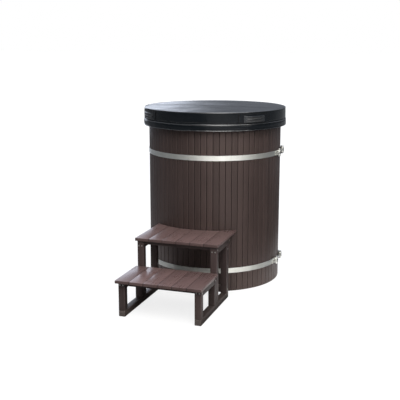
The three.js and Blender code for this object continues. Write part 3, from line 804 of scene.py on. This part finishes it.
for y in (0.4200, 0.4610):
    flats.append(hex_nut(drain_turn @ Vector((0, y, DRAIN_Z)), drain_turn.to_3x3() @ Vector((0, 1, 0)), 0.0149, 0.011, 0.0118))
piece("drain_valve", joined(drain_turned(valve, 48), turned(stem_prof, 32, boss), turned(pin_prof, 24, boss), *flats), FITTING, "tub", "drain_valve_body")

# lever: pressed plate with a dipped grip
lever_rows = []
plan = [(-11.0, 0.5), (-10.2, 4.6), (-7.6, 8.0), (-4.0, 10.2), (0.0, 11.0), (5.0, 10.6), (14.0, 8.6), (24.0, 7.2), (30.0, 7.0), (33.0, 7.6), (40.0, 8.3), (60.0, 8.6), (80.0, 8.6), (86.0, 8.0), (89.6, 6.0), (91.4, 3.0), (92.0, 0.5)]
bm = bmesh.new()
outline = [(x, h) for x, h in plan] + [(x, -h) for x, h in reversed(plan)]
low = [bm.verts.new(drain_turn @ Vector((x * MM, 0.441 + h * MM, DRAIN_Z + 0.0244))) for x, h in outline]
face = bm.faces.new(low)
up = bmesh.ops.extrude_face_region(bm, geom=[face])
bmesh.ops.translate(bm, vec=(0, 0, 0.0045), verts=[v for v in up["geom"] if isinstance(v, bmesh.types.BMVert)])
bmesh.ops.recalc_face_normals(bm, faces=bm.faces[:])
rim = [e for e in bm.edges if abs(e.verts[0].co.z - e.verts[1].co.z) < 1e-7]
bmesh.ops.bevel(bm, geom=rim, offset=0.0011, segments=3, profile=0.5, affect="EDGES", clamp_overlap=True)
bmesh.ops.triangulate(bm, faces=[f for f in bm.faces if len(f.verts) > 4], ngon_method="EAR_CLIP")
ob = from_bm("drain_lever_handle", bm, LEVER, "drain_lever", "drain_lever")
stem_hole = [[drain_turn @ (stem_at + Vector((0.0055 * math.cos(2 * math.pi * i / 28), 0.0055 * math.sin(2 * math.pi * i / 28), s))) for i in range(28)] for s in (0.02, 0.034)]
carve(ob, [grid(stem_hole)])

# ------------------------------------------------------------------ cover
def n3(x, y, z=0.0):
    return noise.noise(Vector((x, y, z)))


TOP_R, TOP_Z, CROWN = 419.5, 1047.5, 2.3


def top_height(r):
    return TOP_Z - CROWN * (r / TOP_R) ** 2


def cover_profile():
    """(radius, height, what it is) in mm from the top's middle, down the wall and skirt, and back along the underside."""
    rows = [(0.0, TOP_Z, "top")]
    for i in range(1, 17):
        r = TOP_R * i / 16
        rows.append((r, top_height(r), "top"))
    for i in range(1, 9):
        t = math.pi / 2 * i / 8
        rows.append((TOP_R + 7.0 * math.sin(t), 1038.2 + 7.0 * math.cos(t), "edge"))
    for i in range(1, 10):
        f = i / 9
        rows.append((426.5 + 0.7 * math.sin(math.pi * f), 1038.2 - 54.7 * f, "wall"))
    rows += [(425.9, 981.2, "hem"), (424.6, 979.2, "hem"), (423.0, 977.4, "hem"), (422.6, 975.4, "hem"), (424.6, 973.6, "hem")]
    for r, z in ((427.6, 972.2), (428.9, 969.4), (429.6, 965.6), (430.0, 961.0), (430.0, 956.0), (429.7, 951.0), (429.1, 946.6), (428.2, 943.2)):
        rows.append((r, z, "skirt"))
    rows += [(427.0, 940.8, "lip"), (425.4, 939.6, "lip"), (424.0, 940.3, "lip")]
    for r, z in ((423.9, 942.6), (424.5, 946.0), (425.2, 950.5), (425.8, 956.0), (426.0, 962.0), (425.6, 966.5), (424.8, 969.6)):
        rows.append((r, z, "inner"))
    rows += [(422.6, 972.0, "under"), (420.6, 972.9, "under")]
    for r in (410.0, 396.0, 350.0, 280.0, 200.0, 120.0, 50.0, 0.0):
        rows.append((r, 972.9, "under"))
    return rows


PROFILE = cover_profile()


def cover_shift(tag, r, z, deg, seed):
    """How far the vinyl strays from its profile, radially and in height, in mm."""
    a = math.radians(deg)
    cx, cy = math.sin(a), -math.cos(a)
    far = min(1.0, max(0.0, r / TOP_R))
    dr = dz = 0.0
    if tag == "top":
        x, y = cx * r / 1000, cy * r / 1000
        dz = 0.75 * n3(x * 4.5 + seed, y * 4.5, 1.3) + 0.35 * n3(x * 13 + seed, y * 13, 4.1)
        dz += 0.5 * far ** 6 * n3(cx * 9 + seed, cy * 9, 7.7)
        dz = dz * min(1.0, abs(y) / 0.07) - 0.2 - 0.4 * far
    elif tag == "edge":
        dr = 0.6 * n3(cx * 5 + seed, cy * 5, 2.2)
        dz = 0.35 * n3(cx * 9 + seed, cy * 9, 7.7) - 0.5
    elif tag == "wall":
        h = (z - 983.5) / 54.7
        dr = 0.9 * n3(cx * 5 + seed, cy * 5, z / 60.0) + 0.55 * n3(cx * 16 + seed, cy * 16, z / 22.0)
        dr += 0.5 * (1 - h) * n3(cx * 34 + seed, cy * 34, z / 40.0)
    elif tag == "hem":
        dz = hem_wave(deg, seed)
        dr = 0.4 * n3(cx * 7 + seed, cy * 7, 9.0)
    elif tag in ("skirt", "lip", "inner"):
        low = min(1.0, max(0.0, (974.0 - z) / 38.0))
        w = hem_wave(deg, seed)
        ripple = n3(cx * 11 + seed, cy * 11, 11.0) + 0.6 * n3(cx * 27 + seed, cy * 27, 3.0)
        dz = w * (1 - 0.3 * low) + 1.3 * low * n3(cx * 4.2 + seed, cy * 4.2, 5.0)
        dr = (0.4 + 1.3 * low) * ripple - 0.4 * low
    return dr, dz


def hem_wave(deg, seed):
    a = math.radians(deg)
    return 1.25 * n3(math.sin(a) * 2.6 + seed, -math.cos(a) * 2.6, 21.0) + 0.5 * n3(math.sin(a) * 9 + seed, -math.cos(a) * 9, 25.0)


HALVES = (("front", 1.0, 3.7, "cover_front"), ("rear", -1.0, 11.9, "cover_rear"))
FOLD = 0.5  # mm from the fold plane to each half's face
STEPS = 220


def on_half(sign, r, z, deg):
    """Point of a half, given its own angle from -90 to 90."""
    a = math.radians(deg)
    return Vector((sign * r * math.sin(a), sign * (-r * math.cos(a) - FOLD), z)) * MM


def shifted(sign, r, z, tag, deg, seed):
    dr, dz = cover_shift(tag, r, z, deg, seed)
    if r < 1e-6:
        dr = 0.0
    flat = min(1.0, (90.0 - abs(deg)) / 6.0)
    return on_half(sign, r + dr * (0.3 + 0.7 * flat), z + dz, deg)


def tube_along(points, radius, sides=10, flat=1.0, wobble=None):
    """Closed cord of round or flattened section along points in metres, kept upright."""
    rows = []
    for i, p in enumerate(points):
        d = (points[min(i + 1, len(points) - 1)] - points[max(i - 1, 0)]).normalized()
        side = d.cross(Vector((0, 0, 1))).normalized()
        over = side.cross(d).normalized()
        r = radius * (wobble(i) if wobble else 1.0)
        end = min(i, len(points) - 1 - i)
        if end < 2:
            r *= (0.55, 0.9)[end]
        rows.append([p + side * (r * math.cos(2 * math.pi * k / sides)) + over * (r * flat * math.sin(2 * math.pi * k / sides)) for k in range(sides)])
    return grid(rows)


def stitches(points, normals, pitch, length, radius):
    """Row of thread stitches lying on a line of points, each a small bent capsule."""
    parts = []
    run = 0.0
    want = pitch / 2
    for i in range(len(points) - 1):
        a, b = points[i], points[i + 1]
        seg = (b - a).length
        while want <= run + seg:
            f = (want - run) / seg
            c = a.lerp(b, f)
            n = normals[i].lerp(normals[i + 1], f).normalized()
            d = (b - a).normalized()
            s = d.cross(n).normalized()
            rows = []
            for t, k, h in ((-0.5, 0.35, -0.7), (-0.42, 0.8, 0.0), (-0.2, 1.0, 0.45), (0.0, 1.0, 0.55), (0.2, 1.0, 0.45), (0.42, 0.8, 0.0), (0.5, 0.35, -0.7)):
                o = c + d * (t * length) + n * (h * radius)
                rows.append([o + (s * math.cos(2 * math.pi * j / 6) + n * math.sin(2 * math.pi * j / 6)) * (radius * k) for j in range(6)])
            parts.append(grid(rows))
            want += pitch
        run += seg
    return joined(*parts)


for half, sign, seed, body in HALVES:
    degs = [-90.0 + 180.0 * i / STEPS for i in range(STEPS + 1)]
    rows = [[shifted(sign, r, z, tag, d, seed) for r, z, tag in PROFILE] for d in degs]
    verts, faces = grid(rows, wrap=False)
    tags = [t for _, _, t in PROFILE]
    n = len(PROFILE)
    face_mat = [1 if tags[(f[0] % n)] == "under" and tags[min(f[0] % n + 1, n - 1)] == "under" else 0 for f in faces]
    loop = [i for i in range(n)] + [STEPS * n + i for i in range(n - 2, 0, -1)]
    faces.append(tuple(loop))
    face_mat.append(0)
    # painted highlight: the vinyl is paler on its rounded top edge and most of all on the lip
    edge = [0.5 if t in ("lip",) else 0.25 if t == "edge" else 0.0 for _ in degs for t in tags]
    ob = piece(f"cover_{half}_jacket", (verts, faces), [VINYL, UNDER], body, (f"cover_jacket_{half}", f"cover_core_{half}"), angle=55, attrs={"edge": edge}, face_mat=face_mat)
    # piping in the seam between side band and skirt, and along the top's edge
    fine = [-89.6 + 179.2 * i / 320 for i in range(321)]
    hem = []
    for d in fine:
        hem.append(on_half(sign, 426.4, 975.2 + hem_wave(d, seed), d))
    piece(f"cover_{half}_hem_piping", tube_along(hem, 0.0040, 14), PIPING, body, (), angle=60)
    lip = []
    for d in fine:
        dr, dz = cover_shift("skirt", 429.0, 942.6, d, seed)
        lip.append(on_half(sign, 428.0 + dr, 942.4 + dz, d))
    piece(f"cover_{half}_lip_binding", tube_along(lip, 0.0024, 10), PIPING, body, (), angle=60)
    top = [on_half(sign, 424.2 + 0.3 * n3(math.sin(math.radians(d)) * 6 + seed, math.cos(math.radians(d)) * 6, 3.0), 1042.4, d) for d in fine]
    piece(f"cover_{half}_top_welt", tube_along(top, 0.0027, 12), PIPING, body, (), angle=60)
    # twin stitch rows above the hem
    runs = []
    for r, z, tag in ((426.85, 985.0, "wall"), (426.95, 988.4, "wall")):
        pts, nrm = [], []
        for d in fine:
            if any(abs(d - h) < 14.6 for h in ((-49, 49))):
                continue
            pts.append(shifted(sign, r, z + hem_wave(d, seed) * 0.8, tag, d, seed))
            nrm.append((on_half(sign, 1.0, 0.0, d) - on_half(sign, 0.0, 0.0, d)).normalized())
        runs.append((pts, nrm))
    geo = []
    for pts, nrm in runs:
        cut = 0
        for i in range(1, len(pts)):
            if (pts[i] - pts[i - 1]).length > 0.02:
                geo.append(stitches(pts[cut:i], nrm[cut:i], 0.0062, 0.0040, 0.00042))
                cut = i
        geo.append(stitches(pts[cut:], nrm[cut:], 0.0062, 0.0040, 0.00042))
    piece(f"cover_{half}_stitching", joined(*geo), THREAD, body, (), angle=60)

# fold strip: a thin flap of vinyl sewn over the fold, half on each side
def on_top(x, y):
    """Height of the cover's top at a point near the fold, in mm."""
    r = math.hypot(x, y) * 1000
    sign, seed = (1.0, 3.7) if y < 0 else (-1.0, 11.9)
    deg = math.degrees(math.atan2(sign * x, max(1e-6, abs(y))))
    return top_height(r) + cover_shift("top", r, 0.0, deg, seed)[1]


strip_rows = []
NX, NY = 128, 20
for i in range(NX + 1):
    x = -0.4165 + 0.833 * i / NX
    row_top, row_low = [], []
    for j in range(NY + 1):
        y = -0.024 + 0.048 * j / NY
        edge = min(j, NY - j)
        lift = 0.32 * ((0.25, 0.8)[edge] if edge < 2 else 1.0)
        row_top.append(Vector((x, y, (on_top(x, y) + lift) * MM)))
        row_low.append(Vector((x, y, (on_top(x, y) - 0.3) * MM)))
    strip_rows.append(row_top + list(reversed(row_low)))
strip = piece("cover_fold_strip", grid(strip_rows), VINYL, None, (), angle=50)
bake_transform(strip, "cover_rear", "cover_front", start=(0, 0.004, 1.0491), end=(0, -0.004, 1.0491))
for half, sign, seed, body in HALVES:
    pts = []
    for i in range(201):
        x = -0.412 + 0.824 * i / 200
        pts.append(Vector((x, -sign * 0.0205, (on_top(x, -sign * 0.0205) + 0.3) * MM)))
    piece(f"cover_{half}_fold_stitching", stitches(pts, [Vector((0, 0, 1))] * 201, 0.0062, 0.0040, 0.0003), THREAD, body, (), angle=60)

# strap handles: sewn patch, pleated strap lying on it, box stitching at both ends
for label, centre_deg, body, sign, seed in (("front_left", -49.0, "cover_front", 1, 5.1), ("front_right", 49.0, "cover_front", 1, 8.3), ("rear_right", 131.0, "cover_rear", -1, 2.9), ("rear_left", -131.0, "cover_rear", -1, 6.6)):
    def on_wall(deg, z, lift):
        return polar(428.0 + lift, centre_deg + deg, z) * MM
    NU, NV = 64, 20
    patch_rows, patch_rim_shade = [], []
    for i in range(NU + 1):
        u = -1 + 2 * i / NU
        outer, inner = [], []
        for j in range(NV + 1):
            v = -1 + 2 * j / NV
            # rounded rectangle
            corner = 0.0
            du, dv = abs(u) * 104.0 - 96.0, abs(v) * 28.0 - 20.0
            z = 1008.0 + 28.0 * v
            d = u * 13.95
            if du > 0 and dv > 0:
                k = math.hypot(du, dv)
                if k > 8.0:
                    z = 1008.0 + math.copysign(20.0 + dv * 8.0 / k, v)
                    d = math.copysign((96.0 + du * 8.0 / k) / 104.0 * 13.95, u)
            rim = min(i, NU - i, j, NV - j)
            lift = 1.55 + 0.2 * n3(u * 6 + seed, v * 3, 1.0)
            lift *= (0.25, 0.8)[rim] if rim < 2 else 1.0
            outer.append(on_wall(d, z, lift))
            inner.append(on_wall(d, z, -0.7))
            # painted shade: the patch's rim is near black, for the shadow gap round it
            patch_rim_shade.append(1.0 if rim < 2 else 0.0)
        patch_rim_shade += [1.0] * (NV + 1)
        patch_rows.append(outer + list(reversed(inner)))
    piece(f"handle_{label}_patch", grid(patch_rows), VINYL, body, (), angle=50, attrs={"painted_shade": patch_rim_shade})
    strap_rows, strap_fold_shade = [], []
    NU, NV = 90, 26
    for i in range(NU + 1):
        u = -1 + 2 * i / NU
        outer, inner = [], []
        for j in range(NV + 1):
            v = -1 + 2 * j / NV
            wave = n3(u * 2.2 + seed, 0.0, 5.0)
            free = max(0.0, 1 - (abs(u) / 0.80) ** 4)
            pleat = 0.5 + 0.5 * math.cos((v * 2.25 + 0.12 + 0.3 * wave * free + 0.1 * n3(u * 5 + seed, v, 2.0)) * math.pi)
            lift = 1.9 + free * (0.8 + 2.4 * pleat + 0.25 * n3(u * 5 + seed, v * 2, 3.0)) + 0.25
            edge = min(j, NV - j)
            lift *= (0.55, 0.85)[edge] if edge < 2 else 1.0
            half_h = 19.0 - 2.2 * free * (0.6 + 0.4 * n3(u * 3 + seed, 1.0, 8.0))
            z = 1004.5 + half_h * v - 1.2 * free
            outer.append(on_wall(u * 9.3, z, lift + 1.0))
            # painted shade in the troughs of the pleats
            strap_fold_shade.append(min(1.0, 1.5 * free * (1.0 - pleat) ** 2))
            inner.append(on_wall(u * 9.3, z, max(1.3, lift - 1.1)))
        strap_rows.append(outer + list(reversed(inner)))
        strap_fold_shade += [1.0] * (NV + 1)
    piece(f"handle_{label}_strap", grid(strap_rows), WEB, body, f"cover_handle_{label}", angle=60, attrs={"painted_shade": strap_fold_shade})
    lines = []
    for e in (-1, 1):
        a0, a1, z0, z1 = e * 7.6, e * 8.9, 988.5, 1020.5
        box = [(a0, z0), (a1, z0), (a1, z1), (a0, z1), (a0, z0), (a1, z1), (a1, z0), (a0, z1)]
        for (pa, pz), (qa, qz) in zip(box, box[1:]):
            pts = [on_wall(pa + (qa - pa) * t / 12, pz + (qz - pz) * t / 12, 3.35) for t in range(13)]
            nr = [(on_wall(pa + (qa - pa) * t / 12, 0, 9.0) - on_wall(pa + (qa - pa) * t / 12, 0, 0.0)).normalized() for t in range(13)]
            lines.append(stitches(pts, nr, 0.0042, 0.0030, 0.00042))
    edge = [(-13.4, 982.4), (13.4, 982.4), (13.4, 1033.6), (-13.4, 1033.6), (-13.4, 982.4)]
    for (pa, pz), (qa, qz) in zip(edge, edge[1:]):
        pts = [on_wall(pa + (qa - pa) * t / 40, pz + (qz - pz) * t / 40, 1.75) for t in range(41)]
        nr = [(on_wall(pa + (qa - pa) * t / 40, 0, 9.0) - on_wall(pa + (qa - pa) * t / 40, 0, 0.0)).normalized() for t in range(41)]
        lines.append(stitches(pts, nr, 0.0058, 0.0038, 0.00042))
    piece(f"handle_{label}_stitching", joined(*lines), THREAD, body, (), angle=60)

# ------------------------------------------------------------------ steps
MEMBERS = {"runner": ("y", FRAME_Y), "front_leg": ("z", FRAME_Z), "short_leg": ("z", FRAME_Z), "tall_leg": ("z", FRAME_Z), "rear_leg": ("z", FRAME_Z), "lower_bearer": ("y", FRAME_Y), "upper_bearer": ("y", FRAME_Y)}
for side in ("left", "right"):
    for member, (grain, mat) in MEMBERS.items():
        node = f"step_{member}_{side}"
        lo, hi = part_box(node)
        # the right front leg gets the lightest tone: painted light, as it catches more light from the right front
        bar(node.replace("step_", "steps_"), lo, hi, mat, "steps", node, 0.0022, grain, tone=1.6 if node == "step_front_leg_right" else None, pale=1.0 if member == "runner" else 0.0)
for node in ("step_lower_front_batten", "step_lower_rear_batten", "step_upper_front_batten", "step_upper_rear_batten", "step_rear_rail"):
    lo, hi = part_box(node)
    bar(node.replace("step_", "steps_"), lo, hi, FRAME_X, "steps", node, 0.0018, "x")

for i in range(1, 7):
    node = f"step_lower_board_{i}"
    lo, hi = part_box(node)
    bar(f"steps_lower_board_{i}", lo, hi, DECK_Y, "steps", node, 0.0011, "y", 3, seam=True)
    node = f"step_upper_board_{i}"
    lo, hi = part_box(node)
    bm = bmesh.new()
    pts = [(lo.x, lo.y), (hi.x, lo.y)]
    for k in range(12, -1, -1):
        x = lo.x + (hi.x - lo.x) * k / 12
        pts.append((x, -math.sqrt(0.4045 ** 2 - x * x)))
    low = [bm.verts.new((x, y, lo.z)) for x, y in pts]
    f = bm.faces.new(low)
    up = bmesh.ops.extrude_face_region(bm, geom=[f])
    bmesh.ops.translate(bm, vec=(0, 0, hi.z - lo.z), verts=[v for v in up["geom"] if isinstance(v, bmesh.types.BMVert)])
    bmesh.ops.recalc_face_normals(bm, faces=bm.faces[:])
    sharp = [e for e in bm.edges if len(e.link_faces) == 2 and e.calc_face_angle() > 0.3]
    bmesh.ops.bevel(bm, geom=sharp, offset=0.0011, segments=3, profile=0.5, affect="EDGES", clamp_overlap=True)
    bmesh.ops.triangulate(bm, faces=[f for f in bm.faces if len(f.verts) > 4], ngon_method="EAR_CLIP")
    mark(bm, lo, hi, 0.0011, 1, seam=True)
    from_bm(f"steps_upper_board_{i}", bm, DECK_Y, "steps", node)


def screw(at, normal, r=0.0042):
    """Countersunk screw head with a cross recess, a little proud of the surface."""
    rot = Vector(normal).normalized().to_track_quat("Z", "Y").to_matrix().to_4x4()
    place = Matrix.Translation(Vector(at)) @ rot @ Matrix.Rotation(rng.uniform(0, 1.5), 4, "Z")
    seg, rings = 48, 10
    rows = []
    for i in range(seg):
        a = 2 * math.pi * i / seg
        row = [(0.0, -0.003), (r * 0.55, -0.003), (r, -0.0004), (r, 0.0002)]
        for k in range(rings, -1, -1):
            q = k / rings
            top = 0.0007 * (1 - 0.55 * q * q)
            cross = max(0.0, 1 - abs(math.sin(2 * a)) * 3.2 * q) if q < 0.62 else 0.0
            row.append((r * 0.98 * q, top - 0.0011 * min(1.0, cross * 1.6)))
        rows.append([place @ Vector((x * math.cos(a), x * math.sin(a), z)) for x, z in row])
    return grid(rows, wrap=False, loop=True, caps=False)


heads = []
for sx in (-1, 1):
    c = -4.5 + sx * 213.0
    for dx in (-8.5, 8.5):
        heads.append(screw(Vector((c + dx, -934.0, 174.0)) * MM, (0, -1, 0)))
        heads.append(screw(Vector((c + dx, -672.2, 322.0)) * MM, (0, -1, 0)))
    for yy, zz in ((-434.0, 331.0), (-652.0, 331.0), (-916.0, 172.0), (-690.0, 172.0), (-466.0, 54.0), (-466.0, 290.0)):
        heads.append(screw(Vector((-4.5 + sx * 231.0, yy, zz)) * MM, (sx, 0, 0)))
piece("steps_screws", joined(*heads), SCREW, "steps", ())

# ------------------------------------------------------------------ floor and light
floor_mat = Mat("floor")
tex = floor_mat.noise(floor_mat.co, 0.8, 3.0)
floor_mat.use(color=floor_mat.mix(floor_mat.fit(tex, 0.3, 0.7, 0.0, 1.0), rgb(0.20, 0.20, 0.20), rgb(0.21, 0.21, 0.21)), rough=0.9)
# the floor as seen is nearly white, with the contact shadow kept faint
seen = floor_mat.nt.nodes.new("ShaderNodeEmission")
seen.inputs["Color"].default_value = rgb(1.0, 1.0, 1.0)
seen.inputs["Strength"].default_value = 0.80
both = floor_mat.nt.nodes.new("ShaderNodeAddShader")
floor_mat.nt.links.new(floor_mat.p.outputs[0], both.inputs[0])
floor_mat.nt.links.new(seen.outputs[0], both.inputs[1])
# what the floor throws back is painted: a painted pool of light on the sheet around the tub, and a dim floor further
# off
sheet = floor_mat.nt.nodes.new("ShaderNodeBsdfDiffuse")
fx, fy, fz = floor_mat.split(floor_mat.co)[:3]
fx, fy = floor_mat.math("SUBTRACT", fx, 0.15), floor_mat.math("SUBTRACT", fy, 0.15)
away = floor_mat.math("SQRT", floor_mat.math("ADD", floor_mat.math("MULTIPLY", fx, fx), floor_mat.math("MULTIPLY", fy, fy)))
tone = floor_mat.mix(floor_mat.fit(away, 0.65, 1.6, 0.0, 1.0), rgb(0.80, 0.79, 0.78), rgb(0.18, 0.185, 0.19))
# painted shade to the right of the tub, a painted shadow under the steps, and a painted pool of light ahead of the
# barrel
distant = floor_mat.fit(away, 3.2, 3.7, 0.0, 1.0)
tone = floor_mat.mix(floor_mat.fit(fx, 0.30, 0.80, 0.0, 1.0), tone, floor_mat.mix(distant, rgb(0.05, 0.046, 0.042), rgb(0.22, 0.225, 0.23)))
shadow_under_steps = floor_mat.math("MULTIPLY", floor_mat.fit(fy, -0.45, -0.6, 0.0, 1.0), floor_mat.fit(floor_mat.math("ABSOLUTE", floor_mat.math("ADD", fx, 0.15)), 0.24, 0.32, 1.0, 0.0))
tone = floor_mat.mix(shadow_under_steps, tone, rgb(0.12, 0.115, 0.11))
pool_ahead = floor_mat.math("DIVIDE", floor_mat.math("ADD", floor_mat.math("MULTIPLY", fx, 0.574), floor_mat.math("MULTIPLY", fy, -0.819)), away)
pool_ahead = floor_mat.math("MULTIPLY", floor_mat.fit(pool_ahead, 0.80, 0.97, 0.0, 1.0), floor_mat.fit(away, 1.2, 1.8, 0.0, 1.0))
tone = floor_mat.mix(pool_ahead, tone, rgb(0.74, 0.73, 0.71))
floor_mat.put(sheet.inputs["Color"], tone)
pick = floor_mat.nt.nodes.new("ShaderNodeMixShader")
floor_mat.nt.links.new(floor_mat.nt.nodes.new("ShaderNodeLightPath").outputs["Is Camera Ray"], pick.inputs[0])
floor_mat.nt.links.new(sheet.outputs[0], pick.inputs[1])
floor_mat.nt.links.new(both.outputs[0], pick.inputs[2])
for n in floor_mat.nt.nodes:
    if n.type == "OUTPUT_MATERIAL":
        floor_mat.nt.links.new(pick.outputs[0], n.inputs[0])
bm = bmesh.new()
bmesh.ops.create_grid(bm, x_segments=2, y_segments=2, size=60.0)
me = bpy.data.meshes.new("floor")
bm.to_mesh(me)
bm.free()
floor = bpy.data.objects.new("floor", me)
floor.location.z = -0.0003
me.materials.append(floor_mat.m)
scene.collection.objects.link(floor)
floor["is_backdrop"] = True

world = bpy.data.worlds.new("studio")
scene.world = world
world.use_nodes = True
wn, wl = world.node_tree.nodes, world.node_tree.links
wn.clear()


def wnode(kind, **props):
    n = wn.new(kind)
    for k, v in props.items():
        setattr(n, k, v)
    return n


def wmath(op, a, b=0.0, clamp=False):
    n = wnode("ShaderNodeMath", operation=op, use_clamp=clamp)
    for i, v in enumerate((a, b)):
        if isinstance(v, bpy.types.NodeSocket):
            wl.new(v, n.inputs[i])
        else:
            n.inputs[i].default_value = v
    return n.outputs[0]


def wfit(v, a, b, c, d, smooth=True):
    n = wnode("ShaderNodeMapRange", interpolation_type="SMOOTHSTEP" if smooth else "LINEAR")
    wl.new(v, n.inputs[0])
    for i, x in enumerate((a, b, c, d)):
        n.inputs[i + 1].default_value = x
    return n.outputs[0]


sky = wnode("ShaderNodeTexCoord").outputs["Generated"]
sep = wnode("ShaderNodeSeparateXYZ")
wl.new(sky, sep.inputs[0])
sx, sy, sz = sep.outputs
# a broad soft light above the viewer, a softer one overhead, dim sides, and a bright panel low at the left rear
def lobe(x, y, z, power):
    d = Vector((x, y, z)).normalized()
    dot = wmath("ADD", wmath("ADD", wmath("MULTIPLY", sx, d.x), wmath("MULTIPLY", sy, d.y)), wmath("MULTIPLY", sz, d.z))
    return wmath("POWER", wmath("MAXIMUM", dot, 0.0), power)


azimuth = wmath("MULTIPLY", wmath("ARCTAN2", sx, sy), 57.2958)
height = wmath("MULTIPLY", wmath("ARCSINE", sz), 57.2958)
edge_at = wmath("SUBTRACT", -20.8, wmath("MULTIPLY", wmath("SUBTRACT", height, 5.0), 0.30))
right_edge = wfit(wmath("SUBTRACT", edge_at, azimuth), -5.0, 5.0, 0.0, 1.0)
left_edge = wfit(azimuth, -60.0, -42.0, 0.0, 1.0)
panel = wmath("MULTIPLY", wmath("MULTIPLY", right_edge, left_edge), wfit(height, 36.0, 22.0, 0.0, 1.0))
rear = wmath("MULTIPLY", wfit(sy, 0.2, 0.8, 0.0, 1.0), wmath("ADD", wfit(azimuth, 25.0, -15.0, 0.0, 0.07), wfit(azimuth, -19.5, -15.5, 0.0, 0.15)))
low_front = wmath("ADD", wmath("MULTIPLY", lobe(0.40, -0.90, 0.10, 14.0), 1.0), wmath("MULTIPLY", lobe(0.88, -0.30, 0.37, 150.0), 8.0))
warm = wmath("ADD", wmath("ADD", wmath("MULTIPLY", lobe(0.27, -0.53, 0.80, 16.0), 9.5), low_front), 0.03)
cool = wmath("ADD", wmath("ADD", wmath("ADD", wmath("ADD", wmath("MULTIPLY", lobe(0.0, 0.0, 1.0, 3.5), 0.2), wmath("MULTIPLY", lobe(-0.1, 0.49, 0.866, 10.0), 2.2)), wmath("MULTIPLY", lobe(-0.98, 0.12, 0.12, 10.0), 0.22)), wmath("MULTIPLY", panel, 2.3)), rear)
front_light = wnode("ShaderNodeBackground")
front_light.inputs["Color"].default_value = (1.0, 0.99, 0.97, 1.0)
wl.new(warm, front_light.inputs["Strength"])
sky_light = wnode("ShaderNodeBackground")
sky_light.inputs["Color"].default_value = (0.88, 0.95, 1.10, 1.0)
wl.new(cool, sky_light.inputs["Strength"])
lit = wnode("ShaderNodeAddShader")
wl.new(front_light.outputs[0], lit.inputs[0])
wl.new(sky_light.outputs[0], lit.inputs[1])
plain = wnode("ShaderNodeBackground")
plain.inputs["Color"].default_value = (1.0, 1.0, 1.0, 1.0)
plain.inputs["Strength"].default_value = 1.0
path = wnode("ShaderNodeLightPath")
mixer = wnode("ShaderNodeMixShader")
wl.new(path.outputs["Is Camera Ray"], mixer.inputs[0])
wl.new(lit.outputs[0], mixer.inputs[1])
wl.new(plain.outputs[0], mixer.inputs[2])
wl.new(mixer.outputs[0], wnode("ShaderNodeOutputWorld").inputs[0])

# ------------------------------------------------------------------ sizes
low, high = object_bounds()
